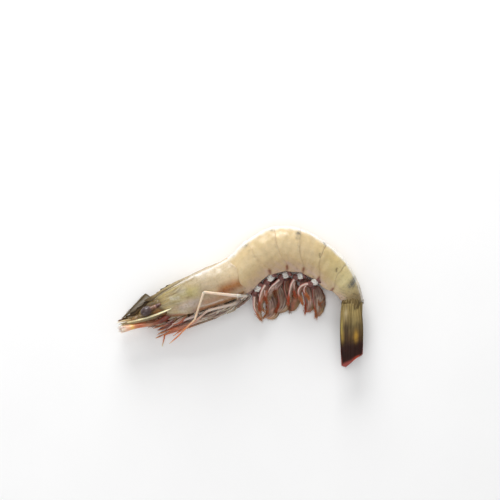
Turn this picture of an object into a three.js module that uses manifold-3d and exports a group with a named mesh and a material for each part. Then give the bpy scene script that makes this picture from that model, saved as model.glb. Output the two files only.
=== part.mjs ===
// A whole raw tiger prawn, lying on its right side with its body arched.
//
// Millimetres. X runs from the head towards the tail, Y towards the arched back and Z up, out of the
// animal's left side. The origin is on the table, under the middle of the body.
//
// The body is a row of hard rings: one fused head and chest with the toothed spike of the rostrum, six
// abdomen rings, and a tail fan of a telson and four blades. Eyes, feelers, mouth legs, five pairs of
// walking legs and five pairs of swimming legs sit on it, each a piece of its own with a small gap.

import * as THREE from "three";
import { mergeVertices } from "three/addons/utils/BufferGeometryUtils.js";
import Module from "manifold-3d";

const wasm = await Module();
wasm.setup();

// ---------------------------------------------------------------- driving dimensions

const ORIGIN = [1.26, 2.63]; // where the stations' own zero lies in X and Y, which centres the whole prawn
const RING_SIDES = 24; // facets round a body ring

// Stations along the body, from the eye sockets to the end of the last ring. crest and belly are the
// back and belly outline in plan, half is half the width, height is the middle's height above the
// table, and roll is how far the back is tipped up, in degrees.
const STATIONS = [
  { crest: [-46.2, 3.0], belly: [-40.7, -9.6], half: 6.4, height: 9.5, roll: 8 },
  { crest: [-35.2, 9.9], belly: [-28.6, -7.2], half: 8.8, height: 9.8, roll: 9 },
  { crest: [-23.1, 16.2], belly: [-14.9, -3.9], half: 10.4, height: 10.1, roll: 10 },
  { crest: [-8.8, 22.6], belly: [2.8, 3.3], half: 10.8, height: 10.4, roll: 10 },
  { crest: [1.7, 32.2], belly: [11.6, 11.3], half: 10.9, height: 10.6, roll: 10 },
  { crest: [16.0, 40.0], belly: [20.4, 14.6], half: 11.3, height: 10.8, roll: 9 },
  { crest: [30.8, 39.6], belly: [29.2, 14.9], half: 11.0, height: 10.6, roll: 8 },
  { crest: [45.1, 32.2], belly: [36.9, 12.4], half: 9.9, height: 10.0, roll: 7 },
  { crest: [56.7, 21.5], belly: [44.6, 6.6], half: 8.6, height: 9.3, roll: 6 },
  { crest: [63.3, 9.9], belly: [51.2, 2.2], half: 7.2, height: 8.7, roll: 5 },
  { crest: [66.6, -1.1], belly: [55.0, -2.5], half: 5.6, height: 8.3, roll: 4 },
];
const CHEST_END = 3; // the station where the chest shell ends and the abdomen starts
const RING_ENDS = [3, 4, 5, 6, 7, 8, 10]; // stations at the borders of the six abdomen rings
const SEAM = 0.02; // half the gap between two rings, in stations
const PLATE_DROP = 0.09; // how far a ring's side plates hang below the belly, as a share of its depth
const BELLY_HOLLOW = { chest: 0.05, abdomen: 0.16 };
const CHEST_FRONT = { station: -0.06, tip: 0.62, rim: 0.9 }; // the rounded front end: where, and how narrow
const CHEST_FLARE = 0.02; // how much the chest widens to its rear edge
const FRONT_TUCK = 0.045; // how much narrower a ring is where it comes out from under the one before
const BODY_POWER = 2.35; // squareness of a body section, where 2 is an ellipse

const HEAD_HEADING = 200; // direction in plan in which the head points, degrees
const ROSTRUM_CREST = [[-14, 10.1], [-4.1, 9.1], [1.1, 7.3], [8.7, 4.9], [16.7, 2.2], [22, 1.0], [25.8, 0.8]];
const ROSTRUM_DEPTH = 2.7;
const ROSTRUM_THICKNESS = 1.5;
const ROSTRUM_TEETH = { count: 8, height: 1.1, length: 2.6 };

// In the head's frame: forward, up to the back, and out from the middle plane. A row of the core is how
// far forward it is, how far up its middle is, and its half height and half width.
const HEAD_CORE = [[-7, -0.6, 5.0, 3.8], [0, -0.5, 4.8, 3.9], [5, -0.9, 3.8, 3.2], [9, -1.2, 2.9, 2.6]];
const EYE = { root: [2.4, 1.8, 5.4], ball: [9.0, 1.2, 6.4], radius: 2.9, stalk: 1.4, flatness: 0.84 };
const ANTENNULE = {
  upper: [[9.4, -1.6, 2.0], [15, -1.5, 2.0], [19, -1.2, 2.1], [27, 0.2, 2.6]],
  lower: [[9.4, -1.6, 2.0], [15, -1.5, 2.0], [19, -1.2, 2.1], [26.5, -2.4, 1.7]],
  radii: [1.3, 1.15, 0.8, 0.25],
};
const ANTENNA = {
  path: [[2.1, -6.6, 4.4], [8, -6.7, 4.2], [15, -5.5, 3.9], [20, -4.6, 3.7], [25.2, -4.0, 3.7]],
  radii: [1.5, 1.3, 1.2, 1.5, 1.6],
};
const SCALES = {
  thickness: 1.0,
  left: { root: [1.6, -2.6, -7.6], tip: [24.0, -1.4, -7.1], spread: [0, -0.5, 0.9], width: 3.6 },
  right: { root: [4.6, 4.1, 2.9], tip: [22.5, 1.4, 2.7], spread: [0.05, 1, 0.1], width: 6.2 },
};

const TAIL_HEADING = -89; // direction in plan in which the tail fan points, degrees
const TELSON = { length: 24, width: 7.2, thickness: 2.6, root: [0.1, 4.2, 0], slope: 0.02 };
const TAIL_BLADES = {
  outer: { length: 33.4, width: 12.6, root: [0.2, -0.7, 5.6] },
  inner: { length: 29, width: 9, root: [0.2, -1.9, 3.7] },
};
const TAIL_THICKNESS = 1.0;
const FAN_DROOP = 4; // how steeply the closed tail blades hang, as a slope
const FAN_SPLAY = 0.01; // how much they lean up and out, as a slope
const FAN_SLANT = 2.6; // how far a blade's belly edge reaches past its middle at the end

// A walking leg's five podomeres, for each pair from the front: how long each is, and how thick the leg.
const LEG_PAIRS = [
  { lengths: [1.4, 9, 7, 5.5, 3.4], thickness: 0.78 },
  { lengths: [1.8, 10.5, 8.5, 6, 3.6], thickness: 0.84 },
  { lengths: [3.2, 13.5, 10, 7.5, 4], thickness: 0.92 },
  { lengths: [4.2, 14.5, 11, 8, 6], thickness: 0.95 },
  { lengths: [7.2, 18.3, 16.6, 14.8, 7.6], thickness: 0.88 },
];
const LEG_RADII = [1.15, 1.15, 0.9, 0.72, 0.6, 0.18]; // at the hip, the four joints and the tip
const PODOMERE_WAIST = [[0.12, 0.92], [0.88, 0.82]]; // how far along a podomere, and how thick it is there

// How each leg lies: the station it leaves the belly at, how far out it does, how far it is grown, and
// the heading and lift of each podomere.
const WALKING_LEGS = {
  left: [
    { station: 1.3, out: 4.6, grown: 1, bends: [[236, 0], [199, -3], [196, -6], [192, -10], [196, -14]] },
    { station: 1.75, out: 1.0, grown: 1, bends: [[232, 0], [205, -3], [197, -5], [191, -7], [196, -9]] },
    { station: 2.2, out: 4.4, grown: 1, bends: [[225, 0], [204, -6], [199, -12], [197, -15], [204, -18]] },
    { station: 2.72, out: 5.0, grown: 1, bends: [[212, 12], [194, 4], [220, -12], [212, -18], [214, -20]] },
    { station: 2.95, out: 6.6, grown: 1, bends: [[181, 42], [174, 15], [251, -20], [224, -24], [220, -36]] },
  ],
  right: [
    { station: 1.3, out: 4.6, grown: 1, bends: [[250, 0], [200, -3], [198, -5], [196, -4], [204, -4]] },
    { station: 1.62, out: 2.3, grown: 1, bends: [[250, 0], [207, -4], [200, -4], [198, -4], [210, -6]] },
    { station: 1.98, out: 4.6, grown: 1, bends: [[254, 0], [208, -3], [202, -4], [200, -5], [204, -6]] },
    { station: 2.5, out: 2.0, grown: 1, bends: [[240, 0], [203, -2], [200, -4], [198, -5], [206, -6]] },
    { station: 2.88, out: 4.9, grown: 0.9, bends: [[249, -22], [206, -2], [200, -1], [197, 0], [257, 0]] },
  ],
};
const JAW_LEG = {
  station: 0.88,
  out: 2.0,
  parts: [[9, 205, 0], [6, 187, -1], [6.5, 181, -2]],
  radii: [1.15, 1.05, 0.8, 0.3],
};
const HIP_CLEARANCE = { walking: 1.4, jaw: 1.3, swimming: 1.1 }; // gap between the belly and a limb's middle
const JAW_TILT = 2; // how far the two mouth legs part, in degrees up or down

// Swimming legs: the size of one, then where each pair leaves the belly, and for each side how far out,
// and the headings in plan of the base and of the stretches of its blades.
const SWIMMER = {
  base: [5.2, 5.0, 4.4, 4.2, 4.0],
  baseRadii: [[2.2, 1.6], [2.1, 1.6], [1.5, 1.2]],
  seat: 1.2, // how far up the base the blades start
  droop: { left: -15, right: -6 },
  bladeDroop: 0.7, // a blade droops by this share of what its base does
  outer: { left: [15.5, 16, 16.5, 16, 16.5], right: [16, 17.5, 19, 18.5, 17] },
  outerShare: 0.5,
  inner: 9,
  innerShare: 0.4,
  innerTurn: 14, // degrees between the two blades
  width: 3.4,
  thickness: 0.9,
  taper: [0.15, 0.95], // where in a half wave the width starts and ends
  lean: [0.7, 0, -0.7], // the way a blade's flat side is turned
};
const SWIMMING_LEGS = {
  left: [
    { station: 3.55, out: 3.4, ways: [-122, -92, -88, -68, -55] },
    { station: 4.46, out: 5.4, ways: [-130, -124, -110, -98, -88] },
    { station: 5.42, out: 3.6, ways: [-150, -137, -137, -115, -98] },
    { station: 6.42, out: 4.6, ways: [-166, -125, -106, -98, -95] },
    { station: 7.42, out: 6.0, ways: [-155, -176, -150, -108, -70, -67] },
  ],
  right: [
    { station: 3.55, out: 4.4, ways: [-62, -55, -62, -84, -120] },
    { station: 4.46, out: 4.4, ways: [-74, -62, -68, -88, -112] },
    { station: 5.42, out: 4.4, ways: [-90, -98, -78, -73, -82] },
    { station: 6.42, out: 4.4, ways: [-92, -78, -76, -82, -92] },
    { station: 7.42, out: 4.4, ways: [-108, -90, -84, -82, -84] },
  ],
};

// ---------------------------------------------------------------- small maths

const radians = THREE.MathUtils.degToRad;
const mix = THREE.MathUtils.lerp;
const point = (x, y, z) => new THREE.Vector3(x, y, z);

// A unit vector from a heading in plan and a lift above the table, both in degrees.
function bearing(heading, lift = 0) {
  const [turn, rise] = [radians(heading), radians(lift)];
  return point(Math.cos(turn) * Math.cos(rise), Math.sin(turn) * Math.cos(rise), Math.sin(rise));
}

// Catmull-Rom value of a list of numbers at the fractional place t.
function along(values, t) {
  const i = THREE.MathUtils.clamp(Math.floor(t), 0, values.length - 2);
  const f = t - i;
  const [b, c] = [values[i], values[i + 1]];
  const a = values[i - 1] ?? 2 * b - c;
  const d = values[i + 2] ?? 2 * c - b;
  const bend = (2 * a - 5 * b + 4 * c - d) * f ** 2 + (3 * b - a - 3 * c + d) * f ** 3;
  return b + 0.5 * ((c - a) * f + bend);
}

// The body's section at station t: its middle, and the half axes up to the crest and out to the left side.
function section(t) {
  const read = (pick) => along(STATIONS.map(pick), t);
  const crest = point(read((s) => s.crest[0]) + ORIGIN[0], read((s) => s.crest[1]) - ORIGIN[1], 0);
  const belly = point(read((s) => s.belly[0]) + ORIGIN[0], read((s) => s.belly[1]) - ORIGIN[1], 0);
  const middle = crest.clone().add(belly).multiplyScalar(0.5).setZ(read((s) => s.height));
  const up = crest.clone().sub(belly).multiplyScalar(0.5);
  const depth = up.length();
  const roll = radians(read((s) => s.roll));
  const flatUp = up.clone().normalize();
  const dorsal = flatUp.clone().multiplyScalar(Math.cos(roll)).setZ(Math.sin(roll));
  const left = flatUp.clone().multiplyScalar(-Math.sin(roll)).setZ(Math.cos(roll));
  return { middle, dorsal, left, depth, half: read((s) => s.half) };
}

// ---------------------------------------------------------------- closed surfaces

// Skins rings of points, each counted anticlockwise round the way the rings follow each other, and
// closes both ends with a fan.
function loft(rings) {
  const count = rings[0].length;
  const vertices = rings.flat();
  const faces = [];
  for (let i = 0; i + 1 < rings.length; i++) {
    for (let j = 0; j < count; j++) {
      const [a, b] = [i * count + j, i * count + ((j + 1) % count)];
      faces.push(a, b, a + count, b, b + count, a + count);
    }
  }
  const last = (rings.length - 1) * count;
  for (const first of [0, last]) {
    const middle = point(0, 0, 0);
    for (let j = 0; j < count; j++) middle.addScaledVector(vertices[first + j], 1 / count);
    const hub = vertices.push(middle) - 1;
    for (let j = 0; j < count; j++) {
      const [a, b] = [first + j, first + ((j + 1) % count)];
      faces.push(...(first === 0 ? [hub, b, a] : [hub, a, b]));
    }
  }
  const geometry = new THREE.BufferGeometry().setFromPoints(vertices);
  geometry.setIndex(faces);
  return geometry;
}

// A ring in the plane of two half axes; profile gives [along first, along second] for an angle.
function ring(middle, first, second, sides, profile = (a) => [Math.cos(a), Math.sin(a)]) {
  return Array.from({ length: sides }, (_, j) => {
    const [u, v] = profile((j / sides) * 2 * Math.PI);
    return middle.clone().addScaledVector(first, u).addScaledVector(second, v);
  });
}

// A round or flat limb along a path. radii holds one [first, second] half axis pair for each point, and
// wide is the direction that the first half axis leans to.
function limb(path, radii, { sides = 6, wide = point(0, 0, 1), profile } = {}) {
  return loft(path.map((p, i) => {
    const ahead = path[Math.min(i + 1, path.length - 1)];
    const behind = path[Math.max(i - 1, 0)];
    const way = ahead.clone().sub(behind).normalize();
    const first = wide.clone().addScaledVector(way, -wide.dot(way)).normalize();
    const second = way.clone().cross(first);
    return ring(p, first.multiplyScalar(radii[i][0]), second.multiplyScalar(radii[i][1]), sides, profile);
  }));
}

const solid = (geometry) => {
  const bare = geometry.index ? geometry.toNonIndexed() : geometry.clone();
  bare.deleteAttribute("normal");
  bare.deleteAttribute("uv");
  const merged = mergeVertices(bare, 1e-4);
  return new wasm.Manifold(new wasm.Mesh({
    numProp: 3,
    vertProperties: merged.attributes.position.array,
    triVerts: new Uint32Array(merged.index.array),
  }));
};

// One closed surface round several that run into each other.
function fused(...geometries) {
  const whole = geometries.map(solid).reduce((all, next) => all.add(next));
  const { numProp, vertProperties, triVerts } = whole.getMesh();
  const geometry = new THREE.BufferGeometry();
  const buffer = new THREE.InterleavedBuffer(vertProperties, numProp);
  geometry.setAttribute("position", new THREE.InterleavedBufferAttribute(buffer, 3, 0));
  geometry.setIndex([...triVerts]);
  return geometry.toNonIndexed();
}

// The soft underside spreads flat where it meets the table.
function settled(geometry) {
  const place = geometry.attributes.position;
  for (let i = 0; i < place.count; i++) place.setZ(i, Math.max(place.getZ(i), 0));
  return geometry;
}

// ---------------------------------------------------------------- materials and scene

const paint = {
  shell: [0xd6c29b, 0.35],
  chest: [0xbfae8b, 0.35],
  leg: [0xcdbba0, 0.45],
  swimmer: [0x8c6a58, 0.5],
  tail: [0x6d5e3a, 0.35],
  feeler: [0xb88a63, 0.45],
  eye: [0x2c1f1b, 0.15],
};
const prawn = new THREE.Group();

function piece(parent, name, geometry, finish) {
  const [color, roughness] = paint[finish];
  geometry.computeVertexNormals();
  const mesh = new THREE.Mesh(geometry, new THREE.MeshStandardMaterial({ color, roughness, metalness: 0 }));
  mesh.name = name;
  parent.add(mesh);
  return mesh;
}

// A group at a body section whose X points along a heading, Y to the animal's back and Z across it: out
// of the right side where X runs forward, and out of the left side where X runs backward.
function bodyFrame(t, heading) {
  const { middle, dorsal } = section(t);
  const x = bearing(heading);
  const y = dorsal.addScaledVector(x, -dorsal.dot(x)).normalize();
  const group = new THREE.Group();
  group.position.copy(middle);
  group.quaternion.setFromRotationMatrix(new THREE.Matrix4().makeBasis(x, y, x.clone().cross(y)));
  group.updateMatrixWorld(true);
  return group;
}

// Sets a mesh at a place with its X along one way and its Y as near as it can be to another.
function pose(mesh, at, alongX, nearY) {
  const x = alongX.clone().normalize();
  const z = x.clone().cross(nearY).normalize();
  mesh.position.copy(at);
  mesh.quaternion.setFromRotationMatrix(new THREE.Matrix4().makeBasis(x, z.clone().cross(x), z));
}

// ---------------------------------------------------------------- body rings

// Outline of a body section: squarish, hollow under the belly, with side plates that hang down.
function bodyProfile(hollow, plate) {
  return (angle) => {
    const soften = (v) => Math.sign(v) * Math.abs(v) ** (2 / BODY_POWER);
    const side = soften(Math.sin(angle));
    let rise = soften(Math.cos(angle));
    if (rise < 0) {
      rise += hollow * -rise * Math.exp(-((side / 0.5) ** 2));
      rise -= plate * Math.exp(-(((Math.abs(side) - 0.72) / 0.22) ** 2));
    }
    return [rise, side];
  };
}

function bodyRing(t, scale, profile) {
  const { middle, dorsal, left, depth, half } = section(t);
  const [up, out] = [dorsal.multiplyScalar(depth * scale), left.multiplyScalar(half * scale)];
  return ring(middle, up, out, RING_SIDES, profile);
}

function abdomenRing(from, to, steps) {
  const rings = [];
  for (let k = 0; k <= steps; k++) {
    const part = k / steps;
    const t = mix(from + SEAM, to - SEAM, part);
    const profile = bodyProfile(BELLY_HOLLOW.abdomen, PLATE_DROP * Math.sin(Math.PI * part));
    rings.push(bodyRing(t, 1 - FRONT_TUCK * (1 - part) ** 2, profile));
  }
  return settled(loft(rings));
}

function chestShell(steps) {
  const end = CHEST_END - SEAM;
  const rings = [bodyRing(CHEST_FRONT.station, CHEST_FRONT.tip, bodyProfile(0, 0))];
  for (let k = 0; k <= steps; k++) {
    const part = k / steps;
    const scale = k === 0 ? CHEST_FRONT.rim : 1 + CHEST_FLARE * part ** 4;
    rings.push(bodyRing(end * part, scale, bodyProfile(BELLY_HOLLOW.chest, 0)));
  }
  return settled(loft(rings));
}

// ---------------------------------------------------------------- head

// The block between the eyes that carries them and the feelers, in the head's own frame.
function headCore() {
  return loft(HEAD_CORE.map(([x, y, depth, half]) =>
    ring(point(x, y, 0), point(0, depth, 0), point(0, 0, half), 12)));
}

// The rostrum, a toothed blade that runs out from the ridge of the chest.
function rostrum() {
  const crest = (s) => [along(ROSTRUM_CREST.map((p) => p[0]), s), along(ROSTRUM_CREST.map((p) => p[1]), s)];
  const last = ROSTRUM_CREST.length - 1;
  const { count, height, length } = ROSTRUM_TEETH;
  const top = [];
  for (let k = 0; k < count; k++) {
    const [x, y] = crest(mix(0.5, last - 1.1, k / (count - 1)));
    top.push([x - length / 2, y], [x + length / 2, y - 0.3 + height]);
  }
  const outline = [crest(0), ...top, crest(last)];
  const under = [];
  for (let k = 7; k >= 0; k--) {
    const [x, y] = crest((k / 8) * last);
    under.push([x, y - ROSTRUM_DEPTH * (1 - k / 8) - 0.4]);
  }
  const shape = new THREE.Shape([...outline, ...under].map(([x, y]) => new THREE.Vector2(x, y)));
  const blade = new THREE.ExtrudeGeometry(shape, { depth: ROSTRUM_THICKNESS, bevelEnabled: false });
  return blade.translate(0, 0, -ROSTRUM_THICKNESS / 2);
}

// An eye on its stalk, turned about its own axis from the root out to the ball, then flattened.
function eyeGeometry() {
  const reach = point(...EYE.ball).distanceTo(point(...EYE.root));
  const profile = [new THREE.Vector2(0, 0), new THREE.Vector2(EYE.stalk, 0)];
  for (let k = 0; k <= 7; k++) {
    const turn = mix(0.82 * Math.PI, 0, k / 7);
    const radius = k === 7 ? 0 : EYE.radius * Math.sin(turn);
    profile.push(new THREE.Vector2(radius, reach + EYE.radius * Math.cos(turn)));
  }
  return new THREE.LatheGeometry(profile, 12).scale(EYE.flatness, 1, 1);
}

// A leaf-shaped blade with a thick middle line. shape gives how far it spreads to the two sides, and
// slant how far its outer edge reaches past its middle at the end.
function leaf(length, width, thickness, shape, { steps = 7, slant = 0 } = {}) {
  const lens = (a) => [Math.cos(a), Math.sin(a) ** 3];
  const rings = [];
  for (let k = 0; k <= steps; k++) {
    const part = mix(0.02, 0.98, k / steps);
    const [inner, outer] = shape(part).map((v) => v * width);
    rings.push(ring(
      point(length * part - slant * LEAF_SETBACK * part, (outer - inner) / 2, 0),
      point(slant * part ** 2, Math.max((outer + inner) / 2, LEAF_EDGE), 0),
      point(0, 0, thickness * 0.5 * (1 - LEAF_THINNING * part)),
      8,
      lens,
    ));
  }
  return loft(rings);
}

const LEAF_SETBACK = 0.6; // a slanted leaf's middle stays short by this share of its slant
const LEAF_EDGE = 0.35; // least half width of a leaf
const LEAF_THINNING = 0.6; // how much thinner a leaf is at its end

const scaleShape = (part) => [
  0.12 * (1 - part ** 3),
  Math.sin(Math.PI * Math.min(0.94, part * 0.82 + 0.12)) ** 0.8,
];
const evenly = (share) => [share / 2, share / 2];
const fanShape = (part) => evenly(Math.min(1, 0.8 + 0.8 * part) * Math.sqrt(1 - part ** 12));
const telsonShape = (part) => evenly(1 - part ** 1.6);

// ---------------------------------------------------------------- limbs

// Points of a chain of straight or bending parts, each [length, heading, lift], from a start.
function chain(start, parts) {
  const points = [start];
  for (const [length, heading, lift] of parts) {
    points.push(points.at(-1).clone().addScaledVector(bearing(heading, lift), length));
  }
  return points;
}

// Where a limb leaves the belly at station t, `out` to the left of the middle line, `clear` below the skin.
function hip(t, out, clear) {
  const { middle, dorsal, left, depth, half } = section(t);
  const bulge = (1 - Math.abs(out / half) ** BODY_POWER) ** (1 / BODY_POWER);
  return middle.addScaledVector(dorsal, -depth * bulge - clear).addScaledVector(left, out);
}

// A jointed limb: each podomere swells a little past its ends, where the next one hinges on it.
function jointedLimb(points, radii, sides = 6) {
  const path = [points[0]];
  const widths = [[radii[0], radii[0]]];
  for (let i = 0; i + 1 < points.length; i++) {
    const [from, to] = [points[i], points[i + 1]];
    for (const [part, share] of PODOMERE_WAIST) {
      const radius = mix(radii[i], radii[i + 1], part) * share;
      path.push(from.clone().lerp(to, part));
      widths.push([radius, radius]);
    }
    path.push(to);
    widths.push([radii[i + 1], radii[i + 1]]);
  }
  return limb(path, widths, { sides });
}

function walkingLeg({ lengths, thickness }, { station, out, grown, bends }, side) {
  const parts = lengths.map((length, i) => [length * grown, ...bends[i]]);
  const root = hip(station, side * out, HIP_CLEARANCE.walking);
  return jointedLimb(chain(root, parts), LEG_RADII.map((radius) => radius * thickness));
}

// A swimming leg: a stout base that carries an outer and an inner blade, all bending back and down.
function swimmingLeg({ station, out, ways }, pair, name) {
  const side = name === "left" ? 1 : -1;
  const [stemWay, ...bladeWays] = ways;
  const droop = SWIMMER.droop[name];
  const root = hip(station, side * out, HIP_CLEARANCE.swimming);
  const knee = root.clone().addScaledVector(bearing(stemWay, droop), SWIMMER.base[pair]);
  const stem = limb([root, root.clone().lerp(knee, 0.5), knee], SWIMMER.baseRadii, { sides: 8 });
  const blade = (length, turn, share) => {
    const start = knee.clone().addScaledVector(bearing(stemWay, droop), -SWIMMER.seat);
    const stretch = length / bladeWays.length;
    const path = chain(start, bladeWays.map((way) => [stretch, way + turn, droop * SWIMMER.bladeDroop]));
    const wide = path.map((_, k) => {
      const swell = Math.sin(Math.PI * mix(...SWIMMER.taper, k / bladeWays.length));
      return [swell * SWIMMER.width * share, SWIMMER.thickness / 2];
    });
    return limb(path, wide, { sides: 6, wide: point(...SWIMMER.lean) });
  };
  const outer = blade(SWIMMER.outer[name][pair], 0, SWIMMER.outerShare);
  return fused(stem, outer, blade(SWIMMER.inner, SWIMMER.innerTurn, SWIMMER.innerShare));
}

// ---------------------------------------------------------------- the whole prawn

function buildBody() {
  const head = bodyFrame(0, HEAD_HEADING);
  const inPlace = (geometry) => geometry.applyMatrix4(head.matrixWorld);
  const chest = fused(chestShell(12), inPlace(headCore()), inPlace(rostrum()));
  piece(prawn, "head_and_chest", settled(chest), "chest");
  for (let i = 0; i < 6; i++) {
    const rings = i === 5 ? 6 : 4;
    piece(prawn, `abdomen_ring_${i + 1}`, abdomenRing(RING_ENDS[i], RING_ENDS[i + 1], rings), "shell");
  }
}

function buildHead() {
  const head = bodyFrame(0, HEAD_HEADING);
  prawn.add(head);
  for (const [name, z] of [["left", -1], ["right", 1]]) {
    const [root, ball] = [EYE.root, EYE.ball].map(([x, y, out]) => point(x, y, z * out));
    const eye = piece(head, `eye_${name}`, eyeGeometry(), "eye");
    eye.position.copy(root);
    eye.quaternion.setFromUnitVectors(point(0, 1, 0), ball.sub(root).normalize());

    const across = (points) => points.map(([x, y, out]) => point(x, y, z * out));
    const antennule = fused(
      jointedLimb(across(ANTENNULE.upper), ANTENNULE.radii),
      jointedLimb(across(ANTENNULE.lower), ANTENNULE.radii),
    );
    piece(head, `antennule_${name}`, antennule, "feeler");
    piece(head, `antenna_${name}`, jointedLimb(across(ANTENNA.path), ANTENNA.radii, 8), "feeler");

    const { root: from, tip, spread, width } = SCALES[name];
    const shape = leaf(tip[0] - from[0], width, SCALES.thickness, scaleShape);
    const scale = piece(head, `antennal_scale_${name}`, shape, "tail");
    pose(scale, point(...from), point(...tip).sub(point(...from)), point(...spread));
  }
}

function buildLimbs() {
  for (const [name, side] of [["left", 1], ["right", -1]]) {
    const root = hip(JAW_LEG.station, side * JAW_LEG.out, HIP_CLEARANCE.jaw);
    const parts = JAW_LEG.parts.map(([length, way, rise]) => [length, way, rise - side * JAW_TILT]);
    piece(prawn, `jaw_leg_${name}`, jointedLimb(chain(root, parts), JAW_LEG.radii), "leg");
    WALKING_LEGS[name].forEach((lie, i) => {
      piece(prawn, `walking_leg_${i + 1}_${name}`, settled(walkingLeg(LEG_PAIRS[i], lie, side)), "leg");
    });
    SWIMMING_LEGS[name].forEach((lie, i) => {
      piece(prawn, `swimming_leg_${i + 1}_${name}`, settled(swimmingLeg(lie, i, name)), "swimmer");
    });
  }
}

function buildTail() {
  const tail = bodyFrame(STATIONS.length - 1, TAIL_HEADING);
  prawn.add(tail);
  const middle = leaf(TELSON.length, TELSON.width, TELSON.thickness, telsonShape);
  const telson = piece(tail, "telson", middle, "tail");
  pose(telson, point(...TELSON.root), point(1, -TELSON.slope, 0), point(0, 0, 1));
  for (const [name, side] of [["left", 1], ["right", -1]]) {
    for (const [layer, { length, width, root }] of Object.entries(TAIL_BLADES)) {
      const shape = leaf(length, width, TAIL_THICKNESS, fanShape, { slant: FAN_SLANT });
      const blade = piece(tail, `tail_${layer}_${name}`, shape, "tail");
      const [x, y, z] = root;
      const along = point(1, -FAN_SPLAY, FAN_SPLAY * side);
      pose(blade, point(x, y, z * side), along, point(0, -FAN_DROOP, side));
    }
  }
}

buildBody();
buildHead();
buildLimbs();
buildTail();

export default prawn;
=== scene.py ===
"""The looks of a raw prawn lying on its right side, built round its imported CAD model.

Shapes are worked out in millimetres in the model's own frame: X from the head to the tail, Y to the
arched back, Z up, out of the animal's left side. Meshes are made in metres. A place on the body is a
station t, from the eye sockets at 0 to the end of the last ring at 10, and an angle round from the
middle of the back, positive on the animal's left side.
"""

import math

import bmesh
import bpy
import numpy as np
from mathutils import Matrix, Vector


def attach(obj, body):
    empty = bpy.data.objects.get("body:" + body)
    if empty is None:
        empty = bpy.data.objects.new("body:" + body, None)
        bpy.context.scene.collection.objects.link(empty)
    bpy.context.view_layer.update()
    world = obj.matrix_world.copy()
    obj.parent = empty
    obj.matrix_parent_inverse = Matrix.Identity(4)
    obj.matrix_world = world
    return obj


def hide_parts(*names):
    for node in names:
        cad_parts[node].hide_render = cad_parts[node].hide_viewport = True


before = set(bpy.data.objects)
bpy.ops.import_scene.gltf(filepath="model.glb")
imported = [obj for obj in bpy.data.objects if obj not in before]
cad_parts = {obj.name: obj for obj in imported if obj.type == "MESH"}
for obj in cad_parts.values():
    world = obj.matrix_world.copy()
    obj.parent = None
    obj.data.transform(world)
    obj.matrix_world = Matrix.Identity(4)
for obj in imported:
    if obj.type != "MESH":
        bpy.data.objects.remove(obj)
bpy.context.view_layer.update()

# ------------------------------------------------------------------ driving dimensions, as in the CAD

ORIGIN = (1.26, -2.63)
# crest x, crest y, belly x, belly y, half width, height of the middle, roll in degrees
STATIONS = np.array([
    (-46.2, 3.0, -40.7, -9.6, 6.4, 9.5, 8),
    (-35.2, 9.9, -28.6, -7.2, 8.8, 9.8, 9),
    (-23.1, 16.2, -14.9, -3.9, 10.4, 10.1, 10),
    (-8.8, 22.6, 2.8, 3.3, 10.8, 10.4, 10),
    (1.7, 32.2, 11.6, 11.3, 10.9, 10.6, 10),
    (16.0, 40.0, 20.4, 14.6, 11.3, 10.8, 9),
    (30.8, 39.6, 29.2, 14.9, 11.0, 10.6, 8),
    (45.1, 32.2, 36.9, 12.4, 9.9, 10.0, 7),
    (56.7, 21.5, 44.6, 6.6, 8.6, 9.3, 6),
    (63.3, 9.9, 51.2, 2.2, 7.2, 8.7, 5),
    (66.6, -1.1, 55.0, -2.5, 5.6, 8.3, 4),
])
RING_ENDS = [3, 4, 5, 6, 7, 8, 10]
BODY_POWER = 2.35
HEAD_HEADING = 200
ROSTRUM_CREST = np.array(
    [(-14, 10.1), (-4.1, 9.1), (1.1, 7.3), (8.7, 4.9), (16.7, 2.2), (22, 1.0), (25.8, 0.8)])
EYE_ROOT = (2.4, 1.8, 5.4)
EYE_BALL = (9.0, 1.2, 6.4)
EYE_RADIUS = 2.9
ANTENNULES = {
    "upper": [(9.4, -1.6, 2.0), (15, -1.5, 2.0), (19, -1.2, 2.1), (27, 0.2, 2.6)],
    "lower": [(9.4, -1.6, 2.0), (15, -1.5, 2.0), (19, -1.2, 2.1), (26.5, -2.4, 1.7)],
}
ANTENNA = [(2.1, -6.6, 4.4), (8, -6.7, 4.2), (15, -5.5, 3.9), (20, -4.6, 3.7), (25.2, -4.0, 3.7)]
SCALES = {
    "left": {"root": (1.6, -2.6, -7.6), "tip": (24.0, -1.4, -7.1), "spread": (0, -0.8, 0.6), "width": 3.8},
    "right": {"root": (4.6, 4.1, 2.9), "tip": (22.5, 1.4, 2.7), "spread": (0.05, 1, 0.1), "width": 6.2},
}
TAIL_HEADING = -89
TELSON_LENGTH = 24
TELSON_WIDTH = 7.2
TAIL_BLADES = {
    "outer": {"length": 33.4, "width": 12.6, "root": (0.2, -0.7, 5.6)},
    "inner": {"length": 29, "width": 9, "root": (0.2, -1.9, 3.7)},
}
FAN_DROOP = 4
TAIL_SLANT = 2.6
LEG_LENGTHS = [
    (1.4, 9, 7, 5.5, 3.4), (1.8, 10.5, 8.5, 6, 3.6), (3.2, 13.5, 10, 7.5, 4), (4.2, 14.5, 11, 8, 6),
    (7.2, 18.3, 16.6, 14.8, 7.6)]
LEG_THICKNESS = [0.78, 0.84, 0.92, 0.95, 0.88]
LEG_RADII = [1.15, 1.15, 0.9, 0.72, 0.6, 0.18]
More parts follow.
